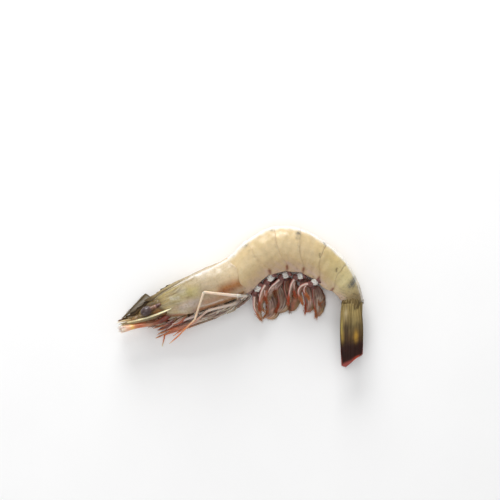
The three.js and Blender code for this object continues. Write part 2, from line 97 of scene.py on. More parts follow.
# station, how far out, how far grown, and the heading and lift of each of the five parts
WALKING_LEGS = {
    "left": [
        (1.3, 4.6, 1, [(236, 0), (199, -3), (196, -6), (192, -10), (196, -14)]),
        (1.75, 1.0, 1, [(232, 0), (205, -3), (197, -5), (191, -7), (196, -9)]),
        (2.2, 4.4, 1, [(225, 0), (204, -6), (199, -12), (197, -15), (204, -18)]),
        (2.72, 5.0, 1, [(212, 12), (194, 4), (220, -12), (212, -18), (214, -20)]),
        (2.95, 6.6, 1, [(181, 42), (174, 15), (251, -20), (224, -24), (220, -36)]),
    ],
    "right": [
        (1.3, 4.6, 1, [(250, 0), (200, -3), (198, -5), (196, -4), (204, -4)]),
        (1.62, 2.3, 1, [(250, 0), (207, -4), (200, -4), (198, -4), (210, -6)]),
        (1.98, 4.6, 1, [(254, 0), (208, -3), (202, -4), (200, -5), (204, -6)]),
        (2.5, 2.0, 1, [(240, 0), (203, -2), (200, -4), (198, -5), (206, -6)]),
        (2.88, 4.9, 0.9, [(249, -22), (206, -2), (200, -1), (197, 0), (257, 0)]),
    ],
}
JAW_LEG = {"station": 0.88, "out": 2.0, "parts": [(9, 205, 0), (6, 187, -1), (6.5, 181, -2)]}
JAW_LEG_RADII = [1.15, 1.05, 0.8, 0.3]
SWIMMER_BASE = [5.2, 5.0, 4.4, 4.2, 4.0]
SWIMMER_OUTER = {"left": [15.5, 16, 16.5, 16, 16.5], "right": [16, 17.5, 19, 18.5, 17]}
SWIMMER_INNER = 9
# for each pair: station, how far out, and the headings of the base and of the stretches of the blade
SWIMMING_LEGS = {
    "left": [
        (3.55, 3.4, (-122, -92, -88, -68, -55)),
        (4.46, 5.4, (-130, -124, -110, -98, -88)),
        (5.42, 3.6, (-150, -137, -137, -115, -98)),
        (6.42, 4.6, (-166, -125, -106, -98, -95)),
        (7.42, 6.0, (-155, -176, -150, -108, -70, -67)),
    ],
    "right": [
        (3.55, 4.4, (-62, -55, -62, -84, -120)),
        (4.46, 4.4, (-74, -62, -68, -88, -112)),
        (5.42, 4.4, (-90, -98, -78, -73, -82)),
        (6.42, 4.4, (-92, -78, -76, -82, -92)),
        (7.42, 4.4, (-108, -90, -84, -82, -84)),
    ],
}
HIP_CLEARANCE = {"walking": 1.4, "jaw": 1.3, "swimming": 1.1}
SWIMMER_DROOP = {"left": -15, "right": -6}
SWIMMER_MEMBRANES = {"left": (4.0, 4.0, 4.4, 2.4, 2.6), "right": (8.5, 8.5, 8.5, 8.0, 7.0)}

# ------------------------------------------------------------------ looks only

SHELL_THICKNESS = 0.15
RING_FRONT_REACH = 0.2
RING_REAR_REACH = 0.1
PLATE_SWEEP = 0.45
PLATE_DROP = 1.2
TABLE_CLEARANCE = 0.15
FLOOR_GAP = 0.02
MM = 0.001

# ------------------------------------------------------------------ small maths


def unit(v):
    v = np.asarray(v, float)
    return v / np.linalg.norm(v, axis=-1, keepdims=True)


def step(low, high, x):
    """0 below low, 1 above high, smooth between."""
    part = np.clip((np.asarray(x, float) - low) / (high - low), 0, 1)
    return part * part * (3 - 2 * part)


def hump(x, middle, width):
    return np.exp(-(((np.asarray(x, float) - middle) / width) ** 2))


def circle(sides):
    return np.linspace(0, 2 * np.pi, sides, endpoint=False)


def join(*parts):
    """Points from their coordinates, each spread over the shape of the others."""
    return np.stack(np.broadcast_arrays(*parts), -1)


def sheet(rows, columns, first=0, left=-1):
    """Places over a sheet, from `first` to 1 along it and from `left` to 1 across it."""
    return np.meshgrid(np.linspace(first, 1, rows), np.linspace(left, 1, columns), indexing="ij")


def scatter(rng, count, *ranges):
    """Random points, each coordinate in its own range."""
    return np.stack([rng.uniform(low, high, count) for low, high in ranges], -1)


def spline(rows, t):
    """Catmull-Rom value of a table's rows at the fractional place t."""
    rows = np.asarray(rows, float)
    t = np.asarray(t, float)
    padded = np.vstack([2 * rows[0] - rows[1], rows, 2 * rows[-1] - rows[-2]])
    i = np.clip(np.floor(t).astype(int), 0, len(rows) - 2)
    f = (t - i)[..., None]
    a, b, c, d = (padded[i + k] for k in range(4))
    return b + 0.5 * ((c - a) * f + (2 * a - 5 * b + 4 * c - d) * f**2 + (3 * b - a - 3 * c + d) * f**3)


def smooth_path(points, steps):
    return spline(points, np.linspace(0, len(points) - 1, steps))


def bearing(heading, lift=0):
    turn, rise = math.radians(heading), math.radians(lift)
    return np.array([math.cos(turn) * math.cos(rise), math.sin(turn) * math.cos(rise), math.sin(rise)])


def chain(start, lengths, bends):
    """The joints of a limb whose parts have the given lengths, headings and lifts."""
    points = [start]
    for length, (heading, lift) in zip(lengths, bends):
        points.append(points[-1] + bearing(heading, lift) * length)
    return points


def ripples(points, size, seed, waves=7):
    """Smooth unevenness of about -1 to 1, with features about `size` across."""
    rng = np.random.default_rng(seed)
    total = np.zeros(points.shape[:-1])
    for _ in range(waves):
        way = unit(rng.normal(size=points.shape[-1]))
        pitch = 2 * np.pi / size * rng.uniform(0.7, 1.6)
        total += np.sin(points @ way * pitch + rng.uniform(0, 2 * np.pi))
    return total / math.sqrt(waves)


def settle(points, low=TABLE_CLEARANCE):
    """Flattens what would sink below the table, with a soft bend at its edge."""
    points = np.array(points, float)
    stiff = 5
    points[..., 2] = low + np.logaddexp(0, (points[..., 2] - low) * stiff) / stiff
    return points


class Frame:
    """A place with three axes: x along, y as near as it can be to a given way, z across both."""

    def __init__(self, origin, along, near_y):
        self.origin = np.asarray(origin, float)
        self.x = unit(along)
        self.z = unit(np.cross(self.x, near_y))
        self.y = np.cross(self.z, self.x)

    def turn(self, v):
        v = np.asarray(v, float)
        return v[..., 0:1] * self.x + v[..., 1:2] * self.y + v[..., 2:3] * self.z

    def place(self, v):
        return self.origin + self.turn(v)


# ------------------------------------------------------------------ the body's skin


def section(t):
    row = spline(STATIONS, t)
    crest, belly = row[..., 0:2] + ORIGIN, row[..., 2:4] + ORIGIN
    flat = (crest - belly) / 2
    depth = np.linalg.norm(flat, axis=-1, keepdims=True)
    up = flat / depth
    roll = np.radians(row[..., 6:7])
    middle = np.concatenate([(crest + belly) / 2, row[..., 5:6]], -1)
    dorsal = np.concatenate([up * np.cos(roll), np.sin(roll)], -1)
    left = np.concatenate([-up * np.sin(roll), np.cos(roll)], -1)
    return middle, dorsal, left, depth, row[..., 4:5]


def skin(t, angle, proud=0.0, hollow=0.12):
    """The body's surface, or a surface `proud` mm outside it, with the belly `hollow` deep."""
    t, angle, proud = np.broadcast_arrays(t, angle, proud)
    middle, dorsal, left, depth, half = section(t)
    soften = lambda v: (np.sign(v) * np.abs(v) ** (2 / BODY_POWER))[..., None]
    rise, side = soften(np.cos(angle)), soften(np.sin(angle))
    rise = rise + hollow * np.maximum(-rise, 0) * hump(side, 0, 0.5)
    proud = proud[..., None]
    return middle + dorsal * ((depth + proud) * rise) + left * ((half + proud) * side)


def cheek_bulge(t, round_):
    """How far the chest shell stands out over the mouth's limbs, in mm."""
    return 1.7 * hump(round_, 0.74, 0.13) * hump(t, 0.75, 0.75)


def body_frame(t, heading):
    middle, dorsal, *_ = section(float(t))
    return Frame(middle, bearing(heading), dorsal)


def hip(t, out, clearance):
    """Where a limb leaves the belly, `out` to the left of the middle line."""
    middle, dorsal, left, depth, half = section(float(t))
    bulge = (1 - np.abs(out / half) ** BODY_POWER) ** (1 / BODY_POWER)
    return middle - dorsal * (depth * bulge + clearance) + left * out


HEAD = body_frame(0, HEAD_HEADING)
TAIL = body_frame(len(STATIONS) - 1, TAIL_HEADING)

# ------------------------------------------------------------------ paint


def srgb(r, g, b):
    c = np.array([r, g, b]) / 255
    return np.where(c <= 0.04045, c / 12.92, ((c + 0.055) / 1.055) ** 2.4)


def mix(under, over, amount):
    """Paints `over` on `under`, as far as `amount` says."""
    amount = np.clip(np.asarray(amount, float), 0, 1)[..., None]
    return under * (1 - amount) + over * amount


def coats(colour, *layers):
    """Paints (colour, amount) layers one over another."""
    for tint, amount in layers:
        colour = mix(colour, tint, amount)
    return colour


def ramp(x, *stops):
    """Colour at x between stops of (place, colour)."""
    places = [place for place, _ in stops]
    return np.stack([np.interp(x, places, [c[k] for _, c in stops]) for k in range(3)], -1)


def near(points, place, size):
    """1 at a place, fading out over about `size` mm."""
    return hump(np.linalg.norm(points - place, axis=-1), 0, size)


def stroke(points, places, size):
    """1 along a line through several places, fading out over about `size` mm."""
    line = smooth_path(places, 8 * len(places))
    return hump(np.min([np.linalg.norm(points - p, axis=-1) for p in line], axis=0), 0, size)


CREAM = srgb(216, 185, 139)
PALE_CREAM = srgb(252, 243, 231)
RING_5_CREAM = srgb(202, 174, 120)
RING_6_OLIVE = srgb(216, 194, 141)
WARM_CREAM = srgb(204, 168, 122)
LAVENDER = srgb(198, 164, 144)
PINK_WHITE = srgb(250, 238, 230)
OLIVE_CREAM = srgb(188, 168, 122)
OLIVE_YELLOW = srgb(176, 160, 92)
OLIVE_BROWN = srgb(142, 118, 76)
DEEP_OLIVE = srgb(84, 70, 40)
BLUE_GREY = srgb(96, 94, 84)
CHEST_GREY = srgb(176, 153, 120)
CHEST_LOW = srgb(186, 162, 144)
GLOW = srgb(164, 92, 8)
ORANGE_BROWN = srgb(156, 92, 44)
RED_BROWN = srgb(112, 50, 34)
ORANGE = srgb(200, 106, 54)
YELLOW = srgb(206, 168, 78)
PURPLE_BROWN = srgb(92, 48, 44)
DARK = srgb(42, 28, 22)
LEG_CREAM = srgb(232, 208, 180)
LEG_GREY = srgb(176, 164, 146)
ROSE = srgb(214, 164, 150)
MEMBRANE = srgb(132, 101, 82)
BLACK_PURPLE = srgb(42, 18, 13)
DARK_RED = srgb(140, 34, 28)
WHITE = srgb(240, 234, 222)
SWIMMER_TIPS = (
    srgb(190, 112, 66), srgb(164, 62, 36), srgb(124, 52, 32), srgb(182, 60, 34), srgb(188, 96, 50))

# station, share of a half turn round from the back, size in mm, strength
BACK_SPOTS = [
    (3.94, 0.16, 1.5, 0.6), (4.97, 0.14, 1.0, 0.6), (6.01, 0.22, 1.5, 0.85), (5.98, 0.31, 1.1, 0.5),
    (7.02, 0.1, 1.0, 0.8), (7.05, 0.16, 0.7, 0.6), (8.96, 0.4, 1.3, 0.7), (8.94, 0.33, 1.6, 0.9),
    (8.9, 0.25, 1.9, 0.95), (8.84, 0.16, 1.7, 0.9), (8.8, 0.06, 1.4, 0.7), (3.98, 0.3, 0.6, 0.3),
    (3.3, 0.12, 1.2, 0.35),
]
# station, share of a half turn, strength
HINGE_MARKS = [
    (4.02, 0.42, 0.25), (5.02, 0.44, 0.25), (6.02, 0.42, 0.3), (7.02, 0.42, 0.85), (7.92, 0.42, 0.9)]
HINGE_SPECKS = ((0.0, 0.0), (0.05, 0.018), (-0.01, -0.026))
# colour, strength, size in mm, then the line's stops as (station, share of a half turn)
CHEST_LINES = [
    (OLIVE_YELLOW, 0.55, 2.2, (0.7, 0.42), (1.1, 0.4), (1.5, 0.5)),
    (OLIVE_BROWN, 0.5, 1.0, (0.2, 0.2), (0.8, 0.24), (1.4, 0.2), (1.9, 0.16)),
    (OLIVE_BROWN, 0.45, 0.8, (0.5, 0.34), (1.0, 0.36), (1.4, 0.31)),
    (LAVENDER, 0.5, 2.0, (1.3, 0.6), (1.7, 0.62), (2.1, 0.66)),
    (LAVENDER, 0.4, 1.5, (0.4, 0.6), (0.8, 0.58), (1.2, 0.55)),
    (srgb(196, 182, 160), 0.6, 2.3, (0.95, 0.33), (1.1, 0.36)),
    (OLIVE_YELLOW, 0.5, 2.2, (1.35, 0.4), (1.6, 0.42)),
    (srgb(186, 168, 156), 0.7, 2.3, (0.8, 0.62), (1.15, 0.6), (1.5, 0.57)),
    (PALE_CREAM, 0.4, 0.95, (0.5, 0.4), (0.65, 0.43), (0.8, 0.44)),
    (OLIVE_BROWN, 0.5, 0.5, (0.62, 0.42), (0.85, 0.46), (1.2, 0.49)),
    (DEEP_OLIVE, 0.4, 0.45, (0.3, 0.3), (0.7, 0.33), (1.0, 0.3)),
    (DEEP_OLIVE, 0.35, 0.4, (0.3, 0.24), (0.6, 0.26), (0.9, 0.22)),
    # Painted highlights: two pinkish-white lines just below the crest, running forward from the rear of the
    # shell.
    (PINK_WHITE, 0.75, 1.5, (3.0, 0.08), (2.6, 0.1), (2.3, 0.13), (1.9, 0.15)),
    (PINK_WHITE, 0.6, 1.0, (1.9, 0.13), (1.4, 0.13), (0.9, 0.12)),
    (GLOW, 0.85, 3.1, (2.45, 0.55), (2.75, 0.54), (2.95, 0.56)),
    (RED_BROWN, 0.45, 1.4, (2.32, 0.56), (2.5, 0.575), (2.7, 0.59)),
    (srgb(186, 122, 70), 0.4, 2.0, (1.8, 0.64), (2.15, 0.65), (2.5, 0.64)),
    (GLOW, 0.6, 2.2, (1.5, 0.76), (2.0, 0.76), (2.5, 0.78), (2.9, 0.76)),
    (ORANGE_BROWN, 0.5, 1.6, (1.3, 0.76), (1.8, 0.78), (2.3, 0.8)),
    (RED_BROWN, 0.5, 0.9, (0.1, 0.76), (0.5, 0.78), (0.9, 0.8), (1.3, 0.79)),
    (srgb(126, 44, 26), 0.75, 0.8, (0.0, 0.7), (0.3, 0.72), (0.6, 0.74), (0.8, 0.76)),
    (PALE_CREAM, 0.5, 0.5, (1.5, 0.68), (1.9, 0.7), (2.3, 0.71)),
    (OLIVE_BROWN, 0.35, 0.45, (3.2, 0.24), (3.24, 0.34), (3.2, 0.44)),
]


def body_paint(points, t, angle):
    """The abdomen's colours: cream, with a pale band painted along the back as a highlight, greyer and
    browner to the tail.
    """
    round_ = np.abs(angle) / np.pi
    soft = ripples(points, 5, 10)
    coords = np.stack([t * 12, round_ * 9], -1)
    streaks = ripples(coords * (1, 0.3), 2.7, 11, 11) + 0.7 * ripples(coords * (1, 0.5), 6.5, 12, 11)
    purple = step(0.5, 1.7, ripples(coords * (0.5, 1.4), 2.2, 13)) * step(0.6, 0.76, round_)
    # Painted highlight: a near-white band along the middle of the back stands in for the wet shell's shine
    # there; it is fainter towards the tail.
    crest = 1 - step(0.06, 0.2, round_ + 0.012 * soft)
    colour = coats(
        ramp(t, (3, CREAM), (6.6, CREAM), (7.6, RING_5_CREAM), (8.6, RING_6_OLIVE),
             (9.5, srgb(150, 128, 88)), (10, srgb(112, 90, 56))),
        (PALE_CREAM, 0.9 * crest * (1 - 0.5 * step(7.8, 9.4, t))),
        (WARM_CREAM, 0.7 * step(0.42, 0.66, round_) * (1 - 0.7 * step(7.5, 9, t))),
        (LAVENDER, (0.62 + 0.2 * soft) * step(0.54, 0.76, round_ + 0.02 * soft)))
    colour = colour * (1 + 0.028 * streaks * step(0.1, 0.3, round_))[..., None]
    colour = mix(colour, PURPLE_BROWN, 0.3 * purple * (1 - step(7.2, 8.5, t)))
    faint = 0.06 + 0.14 * ripples(points, 3, 14)
    for border in RING_ENDS[1:-1]:
        sweep = border + 0.07 + PLATE_SWEEP * step(0.42, 0.76, round_)
        colour = mix(colour, OLIVE_BROWN, faint * hump(t, sweep, 0.03) * step(0.04, 0.3, round_))
        for side in (1, -1):
            corner = [skin(border + PLATE_SWEEP + 0.02, side * turn * np.pi, 0.3)
                      for turn in (0.7, 0.76, 0.82)]
            notch = stroke(points, corner, 0.85)
            colour = coats(colour, (ORANGE_BROWN, 0.8 * notch), (RED_BROWN, 0.7 * notch**3))
    ragged = 1 + 0.35 * ripples(points, 1.3, 15)
    for place, turn, size, amount in BACK_SPOTS:
        for side in (1, -1):
            spot = near(points, skin(place, side * turn * np.pi), size)
            colour = mix(colour, BLUE_GREY, amount * spot * ragged)
    for place, turn, amount in HINGE_MARKS:
        for side in (1, -1):
            hinge = skin(place, side * turn * np.pi)
            colour = mix(colour, OLIVE_BROWN, 0.45 * amount * near(points, hinge, 1.1) * ragged)
            for along, across in HINGE_SPECKS:
                speck = skin(place + along, side * (turn + across) * np.pi)
                colour = mix(colour, DEEP_OLIVE, amount * near(points, speck, 0.38))
    mottled = ripples(points, 2.6, 21) + 0.8 * ripples(points, 1.2, 22)
    return coats(colour, (DEEP_OLIVE, 0.45 * step(0.2, 1.6, mottled) * step(8.6, 9.7, t)),
                 (DEEP_OLIVE, 0.16 * step(0.9, 1.9, mottled) * step(6.5, 8.5, t)))


def chest_paint(points, t, angle):
    """The chest shell's colours, with what shines through from inside, and painted highlights high on its
    sides.
    """
    round_ = np.abs(angle) / np.pi
    soft = ripples(points, 4.5, 30)
    colour = coats(
        ramp(t, (-0.3, srgb(146, 122, 76)), (0.3, srgb(174, 152, 106)), (1.0, srgb(184, 164, 124)),
             (2.0, CHEST_GREY), (3.1, CREAM)),
        # Painted highlight: a broad paler zone high on each side, towards the rear.
        (srgb(214, 194, 166), 0.6 * hump(round_, 0.24, 0.14) * step(1.1, 2.0, t)),
        (CHEST_LOW, (0.6 + 0.25 * soft) * step(0.48, 0.66, round_) * step(0.5, 1.2, t)),
        (OLIVE_BROWN, 0.5 * hump(round_, 0.0, 0.028) * step(0.5, 1.2, t)))
    for side in (1, -1):
        for tint, amount, size, *stops in CHEST_LINES:
            line = [skin(place, side * turn * np.pi, cheek_bulge(place, turn)) for place, turn in stops]
            colour = mix(colour, tint, amount * stroke(points, line, size))
    streaks = ripples(np.stack([t * 3, round_ * 60], -1), 3.8, 31, 11)
    fibres = ripples(np.stack([t * 2.2, round_ * 90], -1), 4.2, 34, 11)
    mottled = ripples(points, 2.4, 32) + 0.7 * ripples(points, 1.1, 33)
    fore = 1 - step(0.5, 1.7, t)
    return coats(
        colour * (1 + (0.045 + 0.05 * fore) * streaks)[..., None],
        (DEEP_OLIVE, 0.34 * step(0.5, 1.7, fibres) * fore),
        (srgb(206, 196, 170), 0.4 * step(0.7, 1.7, -fibres) * fore),
        (OLIVE_BROWN, 0.32 * step(0.3, 1.8, mottled) * (1 - step(1.4, 2.6, t))))


# ------------------------------------------------------------------ making meshes


def grid_faces(rows, columns, wrap=False):
    i = np.arange(rows - 1)[:, None]
    j = np.arange(columns if wrap else columns - 1)[None, :]
    k = (j + 1) % columns
    return np.stack(
        [i * columns + j, i * columns + k, (i + 1) * columns + k, (i + 1) * columns + j], -1).reshape(-1, 4)


def grid_normals(points):
    return unit(np.cross(np.gradient(points, axis=0), np.gradient(points, axis=1)) + 1e-12)


def uneven(points, depth, size, seed):
    """A surface with soft unevenness `depth` mm deep."""
    return points + depth * ripples(points, size, seed)[..., None] * grid_normals(points)


def hoops(path, first, second, wide, deep, sides):
    """Ellipses round a path's points: half axis `wide` along `first` and `deep` along `second`."""
    turn = circle(sides)[None, :, None]
    wide, deep = (np.broadcast_to(size, len(path))[:, None, None] for size in (wide, deep))
    first, second = (np.broadcast_to(way, path.shape)[:, None] for way in (first, second))
    return path[:, None] + first * wide * np.cos(turn) + second * deep * np.sin(turn)


class Piece:
    """Gathers painted surfaces into one mesh."""

    def __init__(self, name):
        self.name = name
        self.points = []
        self.colours = []
        self.faces = []
        self.count = 0

    def add(self, points, colours, *face_lists):
        for faces in face_lists:
            self.faces += (np.asarray(faces) + self.count).tolist()
        self.points.append(points.reshape(-1, 3))
        self.colours.append(colours.reshape(-1, 3))
        self.count += len(self.points[-1])

    def rings(self, rings, colours):
        """A closed body from rings of points, with a hub in the middle of each end."""
        count, sides = rings.shape[:2]
        colours = np.broadcast_to(colours, rings.shape)
        hubs = rings[[0, -1]].mean(axis=1)
        j = np.arange(sides)
        k = (j + 1) % sides
        last = (count - 1) * sides
        first_fan = np.stack([np.full(sides, count * sides), k, j], -1)
        last_fan = np.stack([np.full(sides, count * sides + 1), last + j, last + k], -1)
        points = np.concatenate([rings.reshape(-1, 3), hubs])
        paint = np.concatenate([colours.reshape(-1, 3), colours[[0, -1]].mean(axis=1)])
        self.add(points, paint, grid_faces(count, sides, wrap=True), first_fan, last_fan)

    def shell(self, outer, middle, thickness, colours):
        """A curved sheet; `middle` holds points on its hollow side."""
        normals = grid_normals(outer)
        if np.sum(normals * (outer - middle)) < 0:
            normals = -normals
        rows, columns = outer.shape[:2]
        size = rows * columns
        index = np.arange(size).reshape(rows, columns)
        edge = np.concatenate([index[0], index[1:, -1], index[-1, -2::-1], index[-2:0:-1, 0]])
        following = np.roll(edge, -1)
        rim = np.stack([edge, following, following + size, edge + size], -1)
        faces = grid_faces(rows, columns)
        inner = outer - normals * thickness[..., None]
        self.add(np.stack([outer, inner]), np.stack([colours, colours]), faces, faces[:, ::-1] + size, rim)

    def tube(self, path, radii, colours, sides=10):
        """A limb along a path; radii holds one radius, or one pair of half axes, for each point."""
        radii = np.asarray(radii, float)
        if radii.ndim == 1:
            radii = np.stack([radii, radii], -1)
        way = unit(np.gradient(path, axis=0))
        first = unit((0, 0, 1) - way * way[:, 2:3] + 1e-9)
        rings = hoops(path, first, np.cross(way, first), radii[:, 0], radii[:, 1], sides)
        self.rings(rings, colours[:, None])

    def blade(self, spine, across, normal, reach, thickness, lift, colours):
        """A flat blade; reach, thickness, lift and colours are grids over its length and width."""
        if spine.ndim == 2:
            spine = spine[:, None]
        across, normal = (np.broadcast_to(way, (len(spine), 3))[:, None] for way in (across, normal))
        flat = spine + across * reach[..., None] + normal * lift[..., None]
        half = normal * thickness[..., None] / 2
        rings = np.concatenate([flat + half, (flat - half)[:, ::-1]], 1)
        self.rings(rings, np.concatenate([colours, colours[:, ::-1]], 1))

    def hairs(self, roots, ways, lengths, radius, root_colour, tip_colour, sag=0.0):
        """Thin bristles, each a bent three-sided spike."""
        ways = unit(ways)
        count = len(roots)
        lengths = lengths[:, None]
        first = unit(np.cross(ways, (0.31, 0.22, 0.93)))
        second = np.cross(ways, first)
        bent = roots + ways * lengths * 0.5
        tips = roots + unit(ways + np.array((0, 0, -sag))) * lengths
        rows = []
        for middle, size in ((roots, radius), (bent, radius * 0.7)):
            for turn in circle(3):
                rows.append(middle + (first * math.cos(turn) + second * math.sin(turn)) * size)
        start = np.arange(count)[:, None] * 7
        quads = np.concatenate([start + [k, (k + 1) % 3, 3 + (k + 1) % 3, 3 + k] for k in range(3)])
        spikes = np.concatenate([start + [3 + k, 3 + (k + 1) % 3, 6] for k in range(3)])
        paint = np.stack([root_colour] * 3 + [(root_colour + tip_colour) / 2] * 3 + [tip_colour])
        self.add(np.stack([*rows, tips], 1), np.tile(paint, (count, 1)), quads, spikes, start + [0, 2, 1])

    def make(self, material, slot, *nodes):
        """Makes the object, sets it on the body and hides the CAD nodes that it stands for."""
        mesh = bpy.data.meshes.new(self.name)
        points = np.concatenate(self.points)
        points[:, 2] = np.maximum(points[:, 2], FLOOR_GAP)
        points = points * MM
        mesh.from_pydata(points.tolist(), [], self.faces)
        work = bmesh.new()
        work.from_mesh(mesh)
        bmesh.ops.recalc_face_normals(work, faces=work.faces)
        work.to_mesh(mesh)
        work.free()
        paint = np.clip(np.concatenate(self.colours), 0.003, 0.95)
        layer = mesh.color_attributes.new("pigment", "FLOAT_COLOR", "POINT")
        layer.data.foreach_set("color", np.c_[paint, np.ones(len(paint))].astype(np.float32).ravel())
        mesh.shade_smooth()
        mesh.materials.append(material)
        piece = bpy.data.objects.new(self.name, mesh)
        bpy.context.scene.collection.objects.link(piece)
        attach(piece, "root")
        if nodes:
            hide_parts(*nodes)


# ------------------------------------------------------------------ materials


class Material:
    """A node material that takes its colour from the mesh's own paint."""

    def __init__(self, name):
        self.material = bpy.data.materials.new(name)
        self.material.use_nodes = True
        self.tree = self.material.node_tree
        self.shader = self.tree.nodes["Principled BSDF"]

    def fill(self, node, values):
        """Sets a node's inputs to constants, or links them to other nodes' outputs."""
        for key, value in values.items():
            if isinstance(value, bpy.types.NodeSocket):
                self.tree.links.new(value, node.inputs[key])
            else:
                node.inputs[key].default_value = value

    def node(self, kind, values, out=0, **settings):
        made = self.tree.nodes.new(kind)
        for key, value in settings.items():
            setattr(made, key, value)
        self.fill(made, values)
        return made.outputs[out]

    def pigment(self):
        return self.node("ShaderNodeVertexColor", {}, "Color", layer_name="pigment")

    def noise(self, size, detail=3):
        where = self.node("ShaderNodeTexCoord", {}, "Object")
        values = {"Vector": where, "Scale": 1 / (size * MM), "Detail": detail}
        return self.node("ShaderNodeTexNoise", values, "Fac")

    def cells(self, size):
        where = self.node("ShaderNodeTexCoord", {}, "Object")
        return self.node("ShaderNodeTexVoronoi", {"Vector": where, "Scale": 1 / (size * MM)}, "Distance")

    def span(self, value, low, high, to_low, to_high):
        return self.node("ShaderNodeMapRange", {
            "Value": value, "From Min": low, "From Max": high, "To Min": to_low, "To Max": to_high})

    def blend(self, under, over, amount):
        """The mix node's sockets for colours are its inputs 6 and 7 and its output 2."""
        return self.node("ShaderNodeMix", {0: amount, 6: under, 7: over}, 2, data_type="RGBA")

    def bump(self, height, strength, depth):
        return self.node("ShaderNodeBump", {"Height": height, "Strength": strength, "Distance": depth * MM})


def wet_material(name, roughness, through, mottle, dots, dot_colour, relief, coat, glaze=0.15, grain=0.5,
                 depth=1.6, gleam=0.5):
    """Wet shell or flesh. `through` is how far light soaks in, `depth` how deep in mm, `mottle` how
    uneven the colour is, `dots` how strong its tiny pigment dots are, `relief` its bump in mm,
    `glaze` how rough the wet coat is and `gleam` how much the surface mirrors."""
    m = Material(name)
    shade = m.span(m.noise(3.2), 0.3, 0.7, 1 - mottle, 1 + mottle)
    shaded = m.node("ShaderNodeVectorMath", {0: m.pigment(), "Scale": shade}, operation="SCALE")
    dot = m.span(m.cells(0.7), 0.06, 0.3, 1, 0)
    patchy = m.span(m.noise(2.2, 4), 0.48, 0.68, 0, dots)
    dotted = m.node("ShaderNodeMath", {0: dot, 1: patchy}, operation="MULTIPLY")
    m.fill(m.shader, {
        "Base Color": m.blend(shaded, (*dot_colour, 1), dotted),
        "Roughness": m.span(m.noise(1.1), 0.3, 0.7, roughness * 0.8, roughness * 1.25),
        "Normal": m.bump(m.noise(grain, 4), 0.6, relief),
        "Subsurface Weight": through,
        "Subsurface Radius": (1.0, 0.62, 0.4),
        "Subsurface Scale": depth * MM,
        "IOR": 1.42,
        "Specular IOR Level": gleam,
        "Coat Weight": coat,
        "Coat Roughness": glaze,
    })
    return m.material


def eye_material():
    m = Material("wet_eye")
    facets = m.cells(0.28)
    m.fill(m.shader, {
        "Base Color": m.blend(m.pigment(), (0.02, 0.008, 0.01, 1), m.span(facets, 0.1, 0.6, 0, 0.5)),
        "Normal": m.bump(facets, 0.3, 0.03),
        "Roughness": 0.42,
        "Coat Weight": 0.45,
        "Coat Roughness": 0.16,
    })
    return m.material


SHELL = wet_material("abdomen_shell", 0.3, 0.3, 0.06, 0.3, srgb(112, 96, 72), 0.04, 0.35, glaze=0.3)
CHEST = wet_material("chest_shell", 0.28, 0.25, 0.1, 0.4, srgb(104, 88, 56), 0.06, 0.45, glaze=0.2)
LEG = wet_material("leg_shell", 0.35, 0.4, 0.12, 0.25, srgb(150, 96, 60), 0.05, 0.3)
SWIMMER = wet_material("swimming_leg", 0.4, 0.2, 0.2, 0.4, srgb(78, 38, 30), 0.08, 0.3)
FAN = wet_material("tail_blade", 0.55, 0.08, 0.16, 0.5, srgb(44, 32, 20), 0.08, 0.05, glaze=0.3, gleam=0.2)
FEELER = wet_material("feeler_skin", 0.38, 0.3, 0.16, 0.3, srgb(140, 76, 46), 0.07, 0.3)
FLESH = wet_material("belly_skin", 0.3, 0.5, 0.1, 0.2, srgb(150, 110, 90), 0.15, 0.4, grain=1.2, depth=2.5)
EYE = eye_material()

# ------------------------------------------------------------------ body pieces


def make_flesh():
    """The soft body inside the shells, with ridges across the belly between the legs."""
    t, angle = np.meshgrid(np.linspace(0.35, 9.95, 240), circle(64), indexing="ij")
    round_ = np.abs(np.abs(angle - np.pi) / np.pi - 1)
    under = step(0.75, 0.95, round_)
    ridges = 0.5 * under * np.cos(2 * np.pi * (t - 0.42)) * step(3, 3.4, t)
    swell = 2.6 * step(0.7, 0.86, round_) * hump(t, 3.14, 0.3)
    points = settle(skin(t, angle, -1.0 + ridges + swell), 0.7)
    piece = Piece("belly_flesh")
    piece.rings(points, coats(
        LAVENDER,
        (PINK_WHITE, 0.35 + 0.3 * ripples(points, 4, 41)),
        (PURPLE_BROWN, 0.3 * under * hump((t + 0.58) % 1, 0.0, 0.2)),
        (srgb(150, 104, 88), 0.65 * under),
        (srgb(118, 80, 76), 0.8 * np.clip(swell, 0, 1))))
    piece.make(FLESH, "shell")


